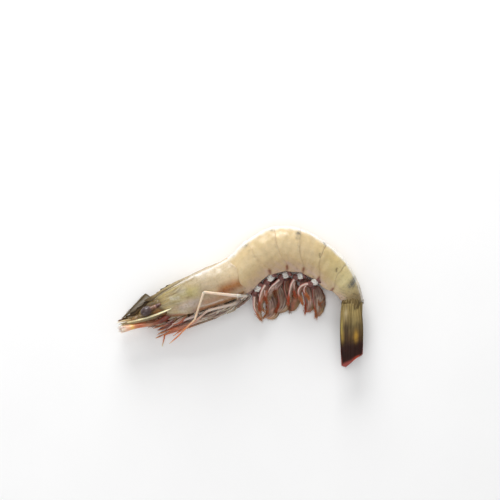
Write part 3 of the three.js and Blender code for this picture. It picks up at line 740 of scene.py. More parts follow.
def make_abdomen_ring(i):
    start, end = RING_ENDS[i], RING_ENDS[i + 1]
    last = i == 5
    s, u = sheet(68 if last else 44, 141)
    plate_rise = 0.05 if last else 0.085
    reach = 0.725 + plate_rise * np.clip(np.sin(np.pi * np.clip(0.1 + 0.88 * s, 0, 1)), 0, 1) ** 0.7
    angle = u * reach * np.pi
    round_ = np.abs(angle) / np.pi
    sweep = (0.25 if last else PLATE_SWEEP) * step(0.42, 0.76, round_) * (1 - 0.75 * last * s)
    if i == 0:
        sweep = sweep * (0.35 + 0.65 * s)
    rear = 0.0 if last else RING_REAR_REACH
    ragged = 0.012 * np.sin(9 * angle + i) * step(0.8, 1, s)
    t = start - RING_FRONT_REACH + (end + rear - start + RING_FRONT_REACH) * s + sweep + ragged
    proud = -0.14 + 0.17 * s**1.5
    keel = hump(u, 0, 0.035) * step(5.6, 9.0, t) * 0.7 * (1 - 0.8 * step(0.8, 1, s)) * step(0, 0.2, s)
    groove = hump(np.abs(u), 0.045, 0.02) * step(5.6, 8.5, t) * 0.15
    dimple = 0.22 * hump(round_, 0.62, 0.09) * hump(s, 0.45, 0.3)
    middle, dorsal, *_ = section(np.clip(t, 0, 10))
    drop = PLATE_DROP * (0.5 if last else 1) * step(0.62, 0.8, round_)
    points = skin(t, angle, proud + keel - groove - dimple) - dorsal * drop[..., None]
    points = settle(uneven(points, 0.1, 6, 50 + i), TABLE_CLEARANCE + 0.25 * s)
    margin = step(0.97, 1.0, np.abs(u)) + 0.5 * step(0.97, 1.0, s) * step(0.5, 0.7, round_)
    colour = mix(body_paint(points, np.clip(t, 3, 10), angle), RED_BROWN, 0.22 * margin)
    if last:
        colour = mix(colour, DEEP_OLIVE, 0.6 * step(0.93, 1.0, s) * (0.8 + 0.4 * ripples(points, 1.5, 16)))
    piece = Piece(f"ring_{i + 1}_shell")
    piece.shell(points, middle, SHELL_THICKNESS * (1 - 0.7 * step(0.9, 1, s)), colour)
    if last:
        add_spine(piece, skin(9.86, 0, 0.2), skin(10.0, 0, 0.2) + np.array((0.0, -1.2, 0.0)), 0.45)
    piece.make(SHELL, "shell", f"abdomen_ring_{i + 1}")


def add_spine(piece, root, tip, radius):
    part = np.linspace(0, 1, 12)
    paint = ramp(part, (0, OLIVE_BROWN), (1, DEEP_OLIVE))
    piece.tube(np.linspace(root, tip, 12), radius * (1 - part) ** 0.8 + 0.04, paint, 8)


def chest_front(round_):
    """The station of the shell's front edge: rostrum, eye notch, spine, then back under the cheek."""
    return (-0.62 * hump(round_, 0, 0.1) + 0.02 * hump(round_, 0.3, 0.08) - 0.2 * hump(round_, 0.45, 0.05)
            - 0.14 * step(0.1, 0.15, round_) * (1 - step(0.5, 0.6, round_))
            + 0.08 * step(0.5, 0.6, round_) - 0.1 * step(0.64, 0.74, round_)
            + 0.4 * step(0.76, 0.86, round_))


def make_carapace():
    s, u = sheet(120, 171)
    reach = 0.845 - 0.06 * (1 - step(0, 0.14, s)) + 0.02 * np.sin(np.pi * s) - 0.05 * step(0.9, 1.0, s) ** 2
    angle = u * reach * np.pi
    round_ = np.abs(angle) / np.pi
    front = chest_front(round_)
    rear = 3.06 + 0.1 * hump(round_, 0.36, 0.1) - 0.08 * hump(round_, 0.56, 0.08)
    rear = rear + 0.1 * step(0.62, 0.84, round_)
    t = front + (rear - front) * s
    proud = 0.06 * step(0.5, 1, s) - 0.6 * (1 - step(-0.1, 0.4, t)) * step(0.12, 0.3, round_)
    tongue = -2.0 * (1 - step(-0.6, 0.12, t)) * step(0.03, 0.13, round_)
    keel = 1.0 * hump(round_, 0, 0.028) * (1 - step(0.4, 1.7, t)) + 0.25 * hump(round_, 0, 0.02)
    beside = -0.35 * hump(round_, 0.075, 0.025) * (1 - step(0.6, 1.8, t))
    cervical = -0.35 * hump(t, 1.5 - 1.5 * step(0.05, 0.5, round_), 0.07) * hump(round_, 0.3, 0.14)
    hepatic = -0.4 * hump(round_, 0.5 + 0.05 * t, 0.02) * hump(t, 0.55, 0.5)
    gills = 0.3 * hump(round_, 0.55, 0.16) * step(0.9, 1.6, t) * (1 - step(2.7, 3.1, t))
    border = 0.2 * step(0.955, 0.97, np.abs(u)) + 0.03 * hump(s, 0.985, 0.012)
    ribs = 0.12 * hump(round_, 0.44, 0.02) * (1 - step(0.2, 0.9, t))
    relief = proud + tongue + keel + beside + cervical + hepatic + gills + border + ribs
    points = skin(t, angle, relief + cheek_bulge(t, round_), hollow=0.05)
    points = settle(uneven(points, 0.09, 7, 60), TABLE_CLEARANCE + 0.3)
    colour = mix(chest_paint(points, t, angle), ORANGE_BROWN, 0.35 * step(0.95, 0.985, np.abs(u)))
    fore = 1 - step(0.7, 1.7, t)
    for place, width, tint, amount in ((0.055, 0.022, DARK, 0.8), (0.105, 0.02, OLIVE_YELLOW, 0.5),
                                       (0.15, 0.018, DEEP_OLIVE, 0.8), (0.2, 0.03, OLIVE_YELLOW, 0.35)):
        colour = mix(colour, tint, amount * fore * hump(round_ + 0.01 * np.sin(6 * t), place, width))
    front_tissue = (1 - step(0.0, 0.08, s)) * step(0.1, 0.2, round_) * (1 - step(0.5, 0.6, round_))
    colour = coats(colour, (srgb(104, 82, 46), 0.75 * front_tissue),
                   (srgb(74, 56, 31), 0.85 * (1 - step(-0.45, 0.05, t))))
    thickness = SHELL_THICKNESS * (0.4 + 0.6 * step(0.0, 0.06, s) - 0.7 * step(0.95, 1, s))
    piece = Piece("carapace")
    piece.shell(points, section(np.clip(t, -0.2, 10))[0], thickness, colour)
    piece.make(CHEST, "chest", "head_and_chest")


def make_rostrum():
    """A thin toothed blade: teeth along its top, a rib along each side and two teeth below."""
    place = np.linspace(0.35, 6, 260)
    part = (place - place[0]) / (place[-1] - place[0])
    crest = spline(ROSTRUM_CREST, place)
    phase = (part * 1.12 * 9) % 1
    saw = np.where(phase < 0.78, (phase / 0.78) ** 1.6, (1 - phase) / 0.22)
    top = crest[:, 1] + 0.25 + 0.65 * saw * (part < 0.88) * (0.65 + 0.35 * np.sin(np.pi * part))
    lower_phase = (part - 0.6) * 10 % 1
    lower = 0.5 * np.where((part > 0.6) & (part < 0.8), 1 - np.abs(2 * lower_phase - 1), 0)
    bottom = crest[:, 1] - (5.2 * (1 - part) ** 0.8 + 0.35) - lower
    x, top, bottom, part = (values[:, None] for values in (crest[:, 0], top, bottom, part))
    turn = circle(24)
    y = (top + bottom) / 2 + (top - bottom) / 2 * np.cos(turn)
    body = np.minimum(1, (top - y) / 1.4) ** 0.8
    rib = 0.6 + 0.4 * hump(np.cos(turn), -0.15, 0.35)
    width = 0.95 * (1 - 0.75 * part) * (0.22 + 0.78 * body * rib)
    z = np.sign(np.sin(turn)) * np.abs(np.sin(turn)) ** 0.7 * width
    level = (y - bottom) / (top - bottom)
    piece = Piece("rostrum")
    piece.rings(HEAD.place(join(x, y, z)), coats(
        srgb(76, 57, 30),
        (srgb(36, 24, 13), 0.9 * step(0.66, 0.8, level)),
        (srgb(52, 38, 22), 0.85 * hump(level, 0.42 + 0.06 * np.sin(part * 31), 0.09)),
        (srgb(116, 98, 52), 0.5 * hump(level, 0.12, 0.18) * (part < 0.8)),
        (ORANGE_BROWN, 0.35 * step(0.8, 1, part)),
        # Painted highlight: a faint pale line along the top edge.
        (OLIVE_CREAM, 0.2 * step(0.93, 1.0, level))))
    piece.make(FAN, "chest")


# ------------------------------------------------------------------ head pieces


def make_head_core():
    """The block between the eyes, with the plates and bristles round the mouth below it."""
    # place along the head, height of the middle, half height, half width
    row = smooth_path([
        (-9, -0.3, 5.8, 5.6), (-4, -0.2, 6.0, 5.8), (0, 0.0, 6.0, 5.7), (3.5, 0.1, 5.4, 5.0),
        (7, 0.0, 4.4, 3.9), (10, -0.4, 3.5, 2.9), (12.5, -0.8, 2.8, 2.0), (14.2, -1.0, 1.2, 1.0)], 60)
    x, height, deep, wide = (row[:, k:k + 1] for k in range(4))
    turn = circle(48)
    lumps = 1 + 0.05 * np.cos(3 * turn + x) + 0.03 * np.sin(5 * turn)
    y = height + deep * np.cos(turn) * lumps
    points = HEAD.place(join(x, y, wide * np.sin(turn) * lumps))
    lines = ripples(join(x * 0.25, y), 1.3, 74, 11)
    behind_eye = hump(x, 3.2, 3.4) * hump(y, -1.6, 1.5)
    above_eye = hump(x, 6.5, 6.5) * hump(y, 3.5, 1.5)
    piece = Piece("head_core")
    piece.rings(points, coats(
        srgb(128, 104, 62),
        (srgb(124, 78, 48), 0.2 + 0.35 * ripples(points, 3, 71)),
        (srgb(176, 158, 96), 0.35 * step(0, 3, y) + 0.3 * ripples(points, 1.5, 72)),
        (srgb(92, 68, 38), 0.6 * step(0.3, 1.5, lines)),
        (srgb(186, 128, 78), 0.75 * behind_eye * np.clip(1 + 0.4 * lines, 0, 1.4)),
        (srgb(66, 50, 27), 0.9 * above_eye),
        # Painted shade: darker olive where the core sits back in the eye notch, behind the shell's front
        # edge.
        (srgb(96, 78, 43), 0.8 * (1 - step(-0.5, 3.5, x)) * step(-3, -1, y)),
        (RED_BROWN, 0.8 * (1 - step(-5.0, -3.6, y)))))
    part = np.linspace(0, 1, 24)
    size = 1.3 * np.sin(np.pi * (0.12 + 0.85 * part)) + 0.15
    paint = ramp(part, (0, LEG_GREY), (0.7, LEG_CREAM), (1, ORANGE))
    for side in (-1, 1):
        for k, (x, y, reach, bow) in enumerate(((-9, -6.4, 9, 1.5), (-6, -6.6, 8, 1.1), (-3, -6.0, 7, 0.6))):
            line = [(x, y, side * (2.6 - 0.5 * k)), (x + reach * 0.5, y - bow, side * (2.4 - 0.4 * k)),
                    (x + reach, y + 0.6, side * 1.6)]
            piece.tube(smooth_path(HEAD.place(line), 24), join(size, size * 0.55), paint, 12)
    add_mouth_parts(piece)
    rng = np.random.default_rng(73)
    count = 260
    roots = HEAD.place(scatter(rng, count, (-8, 6), (-7.2, -5.0), (-3.6, 3.6)))
    ways = HEAD.turn(scatter(rng, count, (0.5, 1.2), (-0.8, -0.2), (-0.3, 0.3)))
    piece.hairs(roots, ways, rng.uniform(1.2, 2.6, count), 0.07, LEG_CREAM, ORANGE_BROWN, 0.2)
    piece.make(FEELER, "chest")


def add_mouth_parts(piece):
    """The crowd of small flattened feeding limbs below the head."""
    rng = np.random.default_rng(77)
    tints = (RED_BROWN, srgb(126, 62, 44), srgb(150, 118, 110), srgb(104, 48, 40), srgb(170, 96, 70),
             srgb(96, 66, 68), srgb(196, 168, 154))
    part = np.linspace(0, 1, 26)
    for k in range(46):
        start = rng.uniform((-15, -9.4, -4.5), (-3, -6.6, 4))
        reach = rng.uniform((8, -4.4, -1), (12, -1.0, 0.6))
        bow = np.array((0, *rng.uniform((-1.6, -0.5), (0.4, 0.5))))
        path = smooth_path(HEAD.place([start, start + reach * 0.5 + bow, start + reach]), 26)
        size = rng.uniform(0.7, 1.1) * np.sin(np.pi * (0.2 + 0.78 * part)) ** 0.8 + 0.08
        tint = tints[k % len(tints)]
        paint = ramp(part, (0, OLIVE_BROWN), (0.3, tint), (0.8, tint), (1, tint * 0.6 + ORANGE * 0.4))
        piece.tube(settle(path, 0.8), join(size, size * 0.6), paint)


def make_eye(name, side):
    root, ball = (HEAD.place((x, y, side * z)) for x, y, z in (EYE_ROOT, EYE_BALL))
    axis = Frame(ball, ball - root, HEAD.y)
    polar, turn = np.meshgrid(np.linspace(0.04, 0.9, 40), circle(56), indexing="ij")
    along = EYE_RADIUS * 1.14 * np.cos(np.pi * polar)
    out = EYE_RADIUS * (1 + 0.04 * np.cos(2 * turn)) * np.sin(np.pi * polar)
    points = axis.place(join(along, 0.84 * out * np.cos(turn), 0.93 * out * np.sin(turn)))
    eyeball = Piece(f"eyeball_{name}")
    eyeball.rings(points, coats(
        srgb(74, 50, 46),
        (srgb(128, 98, 90), 0.7 * step(0.6, 0.84, polar)),
        (srgb(52, 32, 30), 0.5 * (1 - step(0.0, 0.4, polar))),
        (srgb(126, 104, 104), 0.35 * step(0.5, 1.6, ripples(points, 2.2, 75)))))
    eyeball.make(EYE, "eye", f"eye_{name}")
    part = np.linspace(0, 1, 26)
    size = 0.95 + 0.75 * part**2.5 + 0.12 * hump(part, 0.3, 0.12)
    path = np.linspace(root - axis.x * 2.0, ball - axis.x * 2.2, 26)
    rings = hoops(path, axis.y, axis.z, size, size, 24)
    part = part[:, None]
    stalk = Piece(f"eyestalk_{name}")
    stalk.rings(rings, coats(
        srgb(110, 74, 54),
        (OLIVE_BROWN, 0.4 * ripples(rings, 1.6, 76)),
        (srgb(66, 20, 28), 0.9 * hump(part, 0.3, 0.16)),
        (ROSE, 0.25 * hump(part, 0.52, 0.07)),
        (PURPLE_BROWN, 0.7 * step(0.8, 1.0, part))))
    stalk.make(FEELER, "eye")


def jointed(piece, points, radii, paint, sides=12, flat=1.0):
    """A limb of stiff parts, each swelling at its ends where the next one hinges on it."""
    total = len(points) - 1
    for i in range(total):
        last = i + 1 == total
        part = np.linspace(-0.03, 1.0 if last else 1.03, 22)
        inside = part.clip(0, 1)
        path = points[i] + (points[i + 1] - points[i]) * part[:, None]
        end = 0.8 / np.linalg.norm(points[i + 1] - points[i])
        swell = 0.86 + 0.16 * hump(part, 1 - end, end * 1.6) + 0.08 * hump(part, end, end)
        past = ((np.abs(part - 0.5) - 0.5 + end * 0.2) / (end * 0.5)).clip(0, 1)
        round_off = np.sqrt(np.clip(1 - past**2, 0.05, 1))
        size = (radii[i] + (radii[i + 1] - radii[i]) * part) * swell * round_off
        if last:
            taper = 0.85 * (1 - inside) ** 0.7 * np.minimum(1, round_off + 0.3 * part)
            size = radii[i] * taper + radii[-1] * 0.5
        path[:, 2] += 0.35 * np.sin(np.pi * inside) * radii[i]
        path[:, 2] = np.maximum(path[:, 2], size + TABLE_CLEARANCE)
        piece.tube(path, join(size * flat, size), paint((i + inside) / total), sides)


def make_antennule(name, side):
    """The feeler next to the middle: a hairy three-part base and two short whips."""
    piece = Piece(f"small_feelers_{name}")
    upper, lower = (HEAD.place(np.array(points) * (1, 1, side)) for points in ANTENNULES.values())
    start = upper[0] - HEAD.x * 4.5
    base = [start, upper[0] + HEAD.x * 1.2, upper[1], upper[2]]
    stops = ((0, srgb(104, 82, 46)), (0.5, srgb(122, 96, 54)), (1, srgb(146, 112, 68)))
    jointed(piece, base, [2.0, 1.9, 1.6, 1.1], lambda part: ramp(part, *stops), 14, flat=0.75)
    part = np.linspace(0, 1, 46)
    size = (0.62 * (1 - part) ** 0.6 + 0.1) * (1 + 0.1 * np.sin(part * 90))
    paint = ramp(part, (0, srgb(176, 140, 84)), (0.5, OLIVE_CREAM), (1, PALE_CREAM))
    for whip, rise in ((upper, 0.5), (lower, -0.3)):
        line = [whip[2] - HEAD.x * 0.8, (whip[2] + whip[3]) / 2 + HEAD.y * rise, whip[3]]
        piece.tube(smooth_path(line, 46), size, paint)
    rng = np.random.default_rng(80 + side)
    count = 220
    roots = start + (upper[2] - start) * rng.uniform(0.05, 1, (count, 1))
    roots = roots + HEAD.y * rng.uniform(0.9, 1.4, (count, 1))
    roots = roots + HEAD.z * rng.uniform(-1.2, 1.2, (count, 1))
    ways = HEAD.turn(scatter(rng, count, (0.6, 1.1), (0.1, 0.7), (-0.4, 0.4)))
    piece.hairs(roots, ways, rng.uniform(1.0, 2.2, count), 0.06, OLIVE_BROWN, srgb(190, 150, 92), 0.1)
    piece.make(FEELER, "feeler", f"antennule_{name}")


def make_antenna(name, side):
    """The long feeler's thick base and its stump, torn off short, with frayed ends."""
    piece = Piece(f"long_feeler_{name}")
    path = smooth_path(HEAD.place(np.array([(-4, -4.8, 3.4), *ANTENNA]) * (1, 1, side)), 110)
    part = np.linspace(0, 1, 110)[:, None]
    joints = hump(part, 0.28, 0.03) + 0.8 * hump(part, 0.46, 0.03) - 0.6 * hump(part, 0.5, 0.015)
    size = 1.15 + 0.3 * hump(part, 0.15, 0.2) + 0.6 * step(0.6, 0.97, part) + 0.15 * joints
    size = size * (1 + 0.02 * step(0.48, 0.54, part) * np.sin(part * 150))
    turn = circle(22)
    size = size * (1 + 0.1 * np.cos(2 * turn + 5 * part) * step(0.5, 0.9, part))
    around = HEAD.turn(join(0, np.cos(turn), np.sin(turn))) * (1, 1, 0.85)
    streaky = ripples(join(part * 5, 3 * np.cos(turn)), 1.4, 91 + side)
    colour = ramp(part, (0, RED_BROWN), (0.22, srgb(108, 44, 28)), (0.36, srgb(150, 84, 56)),
                  (0.46, srgb(176, 128, 98)), (0.6, srgb(186, 100, 60)), (0.7, srgb(204, 130, 88)),
                  (0.77, YELLOW), (0.84, srgb(226, 170, 134)), (1, srgb(244, 220, 200)))
    colour = colour * (1 + 0.22 * streaky)[..., None]
    piece.rings(path[:, None] + around * size[..., None],
                mix(colour, PINK_WHITE, 0.35 * step(0.4, 1.4, streaky) * step(0.6, 0.9, part)))
    rng = np.random.default_rng(90 + side)
    for _ in range(13):
        root = path[-1] + HEAD.turn((-0.6, rng.uniform(-1.1, 1.1), rng.uniform(-0.8, 0.8)))
        lean = HEAD.turn((1, rng.uniform(-0.5, 0.5), rng.uniform(-0.3, 0.3)))
        line = [root - HEAD.x, root + lean, root + lean * rng.uniform(1.6, 3.0)]
        shrink = np.linspace(rng.uniform(0.35, 0.6), 0.07, 14)
        piece.tube(smooth_path(line, 14), shrink, ramp(np.linspace(0, 1, 14), (0, ROSE), (1, WHITE)), 8)
    piece.make(FEELER, "feeler", f"antenna_{name}")


def scale_paint(name, p, u, reach):
    """The left scale is pale along its rib; the right one, seen from below, is grey with a dark edge."""
    if name == "left":
        return coats(
            srgb(122, 108, 72),
            (srgb(108, 76, 46), step(0.5, 0.95, u)),
            (srgb(236, 226, 186), 0.9 * hump(reach, 0.0, 0.3 + 0.15 * (1 - step(0, 0.3, p)))),
            (srgb(170, 150, 92), 0.4 * step(0.45, 0.8, p)))
    return coats(
        srgb(112, 100, 78),
        (srgb(158, 150, 138), hump(u, 0.5, 0.22)),
        (DEEP_OLIVE, 0.9 * step(0.74, 0.95, u) + 0.5 * hump(reach, 0.2, 0.8)),
        (srgb(84, 66, 36), 0.7 * step(0.5, 0.9, p)))


def make_antennal_scale(name, side):
    """A stiff leaf beside the feeler: a thick outer rib ending in a spine, and a thin fringed blade."""
    shape = SCALES[name]
    root, tip = HEAD.place(shape["root"]), HEAD.place(shape["tip"])
    base = Frame(root, tip - root, HEAD.turn(shape["spread"]))
    length = np.linalg.norm(tip - root)
    p, u = sheet(70, 26, left=0)
    arch = np.sin(np.pi * p)
    if name == "left":
        back, rise = 6.0, 1.0 - 0.7 * arch
        width = shape["width"] * step(0.1, 0.42, p) * (1 - 0.97 * p) ** 0.6 + 0.5 * step(-0.02, 0.03, p)
        material, root_colour, tip_colour = FEELER, ORANGE_BROWN, srgb(206, 150, 110)
    else:
        back, rise = 0.0, 0 * p
        width = shape["width"] * step(0.0, 0.2, p + 0.1) * (1 - 0.97 * p) + 0.1
        material, root_colour, tip_colour = FAN, DEEP_OLIVE, OLIVE_BROWN
    reach = (u * 1.06 - 0.06) * width
    rib = hump(reach, 0.1, 0.6) + 0.35 * hump(reach, 2.2, 0.5)
    thickness = 0.28 + 0.95 * rib * (1 - 0.5 * p) * step(-0.04, 0.16, p)
    lift = -0.55 * u**2 * arch + 0.12 * np.sin(p * 26 + u * 5) * u * p
    along = p * (length + back) - back
    spine = base.place(join(along[:, 0], 0, 0.4 * arch[:, 0])) + HEAD.y * rise[:, 0:1]
    streak = ripples(join(along * 0.08, reach), 1.0, 101)
    piece = Piece(f"feeler_scale_{name}")
    piece.blade(spine, base.y, base.z, reach, thickness, lift,
                scale_paint(name, p, u, reach) * (1 + 0.1 * streak)[..., None])
    add_spine(piece, spine[-9] + base.z * 0.1, spine[-1] + base.x * 1.6, 0.4)
    rng = np.random.default_rng(110 + side)
    count = 160
    k = rng.integers(10, 69, count)
    roots = spine[k] + base.y * (reach[k, -1:] - 0.1) + base.z * lift[k, -1:]
    ways = base.turn(scatter(rng, count, (0.7, 1.3), (0.4, 0.9), (-0.15, 0.15)))
    piece.hairs(roots, ways, rng.uniform(0.4, 1.0, count), 0.05, root_colour, tip_colour)
    piece.make(material, "tail", f"antennal_scale_{name}")


# ------------------------------------------------------------------ walking legs

# the pale colour of the upper half and the orange of the lower half, for the first four pairs
LEG_TINTS = [
    (srgb(206, 188, 182), srgb(190, 116, 82)), (srgb(178, 160, 144), srgb(170, 84, 54)),
    (srgb(188, 170, 154), srgb(186, 100, 62)), (srgb(204, 188, 174), srgb(196, 104, 62))]
LAST_LEG_STOPS = {
    "left": [
        (0, srgb(206, 196, 182)), (0.16, srgb(214, 204, 192)), (0.3, srgb(226, 204, 182)),
        (0.5, srgb(230, 206, 178)), (0.6, srgb(222, 190, 158)), (0.7, srgb(214, 142, 92)),
        (0.84, ORANGE), (0.93, srgb(206, 132, 72)), (1, srgb(202, 178, 90))],
    "right": [
        (0, srgb(96, 66, 62)), (0.2, srgb(140, 118, 104)), (0.5, srgb(160, 134, 112)),
        (0.7, ORANGE), (0.9, ORANGE), (1, srgb(206, 186, 110))],
}
FINGERS_FROM = 0.84


def leg_stops(pair, name):
    """Cream and grey at the top, orange to the tip; the last pair is the palest."""
    if pair == 4:
        return LAST_LEG_STOPS[name]
    pale, front = LEG_TINTS[pair]
    return [(0, srgb(120, 96, 84)), (0.2, pale), (0.4, pale), (0.56, mix(pale, front, 0.5)),
            (0.72, front), (1, srgb(200, 132, 84))]


def on_limb(rng, points, count, parts, share):
    """Random places on some of a limb's parts: which part, the place and the way the part points."""
    which = rng.integers(*parts, count)
    along = rng.uniform(*share, (count, 1))
    starts, ends = np.array(points)[which], np.array(points)[which + 1]
    return which, starts + (ends - starts) * along, unit(ends - starts)


def make_walking_leg(pair, name, side):
    station, out, grown, bends = WALKING_LEGS[name][pair]
    root = hip(station, side * out, HIP_CLEARANCE["walking"])
    points = chain(root, np.array(LEG_LENGTHS[pair]) * grown, bends)
    radii = np.array(LEG_RADII) * LEG_THICKNESS[pair] * (1, 1, 1, 0.88, 0.78, 1)
    paint = lambda part: ramp(part, *leg_stops(pair, name))
    piece = Piece(f"leg_{pair + 1}_{name}")
    add_coxa(piece, station, root, points[1], LEG_THICKNESS[pair], 170 + pair + side)
    if pair < 3:
        jointed(piece, points[:-1], [*radii[:-2], radii[-2] * 1.1], lambda part: paint(part * FINGERS_FROM))
        add_fingers(piece, points[-2], points[-1], radii[-2] * 0.5, paint)
    else:
        jointed(piece, points, radii, paint)
    rng = np.random.default_rng(120 + 10 * pair + side)
    count = 60
    which, roots, way = on_limb(rng, points, count, (1, 4), (0.05, 0.95))
    aside = unit(np.cross(way, rng.normal(size=(count, 3))))
    roots = roots + aside * radii[which, None] * 0.7
    piece.hairs(roots, aside + way * 0.9, rng.uniform(0.6, 1.4, count), 0.05, LEG_CREAM, ORANGE)
    piece.make(LEG, "leg", f"walking_leg_{pair + 1}_{name}")


def add_fingers(piece, palm, tip, radius, paint):
    """The two fingers that end each of the first three pairs of legs."""
    way = unit(tip - palm)
    aside = unit(np.cross(way, (0, 0, 1)))
    part = np.linspace(0, 1, 20)
    size = radius * (1 - part) ** 0.6 + 0.06
    for lean in (-1, 1):
        line = [palm - way * 0.4, (palm + tip) / 2 + aside * lean * 0.14, tip + aside * lean * 0.04]
        piece.tube(smooth_path(line, 20), size, paint(FINGERS_FROM + (1 - FINGERS_FROM) * part), 8)


def add_coxa(piece, station, root, knee, thickness, seed):
    """The short broad joint that fills the belly's side between one leg and the next."""
    _, dorsal, left, *_ = section(station)
    ahead = unit(section(station + 0.1)[0] - section(station - 0.1)[0])
    part = np.linspace(0, 1, 26)
    path = smooth_path([root + dorsal * 3.4 + ahead * 0.6, root + dorsal * 1.2, knee * 0.8 + root * 0.2], 26)
    close = thickness * np.sqrt(np.clip(1 - ((part - 0.86) / 0.145).clip(0, 1) ** 2, 0.06, 1))
    rings = hoops(path, ahead, left, (3.1 - 1.7 * part) * close, (2.0 - 0.8 * part) * close, 26)
    turn, part = circle(26), part[:, None]
    streaky = ripples(join(np.cos(turn) * 3, np.sin(turn) * 3, part * 1.5), 2.0, seed)
    piece.rings(settle(rings, 0.3), coats(
        srgb(150, 128, 112),
        (LEG_CREAM, 0.25 + 0.3 * streaky),
        (PURPLE_BROWN, 0.4 * step(0.2, 1.2, -streaky)),
        (ORANGE_BROWN, 0.3 * (1 - step(0.0, 0.35, part)))))


def make_leg_fringe():
    """The soft side branches and bristly flaps that fill the belly between the roots of the legs."""
    rng = np.random.default_rng(131)
    piece = Piece("leg_fringe")
    pale = (srgb(226, 206, 192), srgb(208, 190, 170), srgb(240, 226, 210), srgb(188, 168, 146))
    dusky = (srgb(182, 170, 148), srgb(160, 142, 124), srgb(194, 184, 168), srgb(140, 114, 104))
    part = np.linspace(0, 1, 22)
    for k in range(150):
        root = rng.uniform(1.5, 3.16)
        low = rng.uniform(0, 1)
        out = rng.uniform(-4.5, 5.2)
        reach = rng.uniform(0.5, 0.95) * (1 - 0.3 * low)
        depth = (0.3 + 4.4 * low * step(1.0, 1.9, root)) * (1 - 0.35 * step(2.7, 3.16, root))
        stops = [hip(root, out, 0.2 + 0.5 * depth),
                 hip(root - 0.35 * reach, out + rng.uniform(-0.6, 0.6), depth + 0.5),
                 hip(root - reach, out + rng.uniform(-1.2, 1.2), depth + rng.uniform(0.3, 1.6))]
        size = rng.uniform(0.32, 0.62) * np.sin(np.pi * (0.12 + 0.84 * part)) ** 0.7 + 0.06
        tint = (pale if low + rng.uniform(-0.25, 0.25) < 0.5 else dusky)[k % 4]
        dark_root = mix(tint, PURPLE_BROWN, 0.1 + 0.75 * step(2.75, 3.05, root))
        paint = ramp(part, (0, dark_root), (0.3, tint), (0.8, tint), (1, mix(tint, ORANGE_BROWN, 0.3)))
        piece.tube(settle(smooth_path(stops, 22), 0.9), join(size, size * 0.7), paint, 8)
    piece.make(LEG, "leg")


def make_jaw_leg(name, side):
    root = hip(JAW_LEG["station"], side * JAW_LEG["out"], HIP_CLEARANCE["jaw"])
    lengths = [length for length, _, _ in JAW_LEG["parts"]]
    bends = [(heading, lift - side * 2) for _, heading, lift in JAW_LEG["parts"]]
    points = chain(root, lengths, bends)
    stops = ((0, srgb(188, 172, 156)), (0.5, srgb(206, 186, 170)), (1, srgb(222, 190, 150)))
    piece = Piece(f"mouth_leg_{name}")
    jointed(piece, points, JAW_LEG_RADII, lambda part: ramp(part, *stops), 14, flat=0.8)
    rng = np.random.default_rng(150 + side)
    count = 420
    _, roots, way = on_limb(rng, points, count, (0, 3), (0, 1))
    ways = way + scatter(rng, count, (-0.2, 0.2), (-1.1, -0.3), (-0.5, 0.6))
    lengths = rng.uniform(1.2, 3.0, count)
    piece.hairs(roots + (0, -0.4, 0.2), ways, lengths, 0.08, srgb(132, 70, 50), srgb(196, 124, 84), 0.2)
    piece.make(LEG, "leg", f"jaw_leg_{name}")


# ------------------------------------------------------------------ swimming legs

RAY_TINTS = (srgb(238, 200, 188), srgb(228, 212, 196), srgb(216, 120, 84))


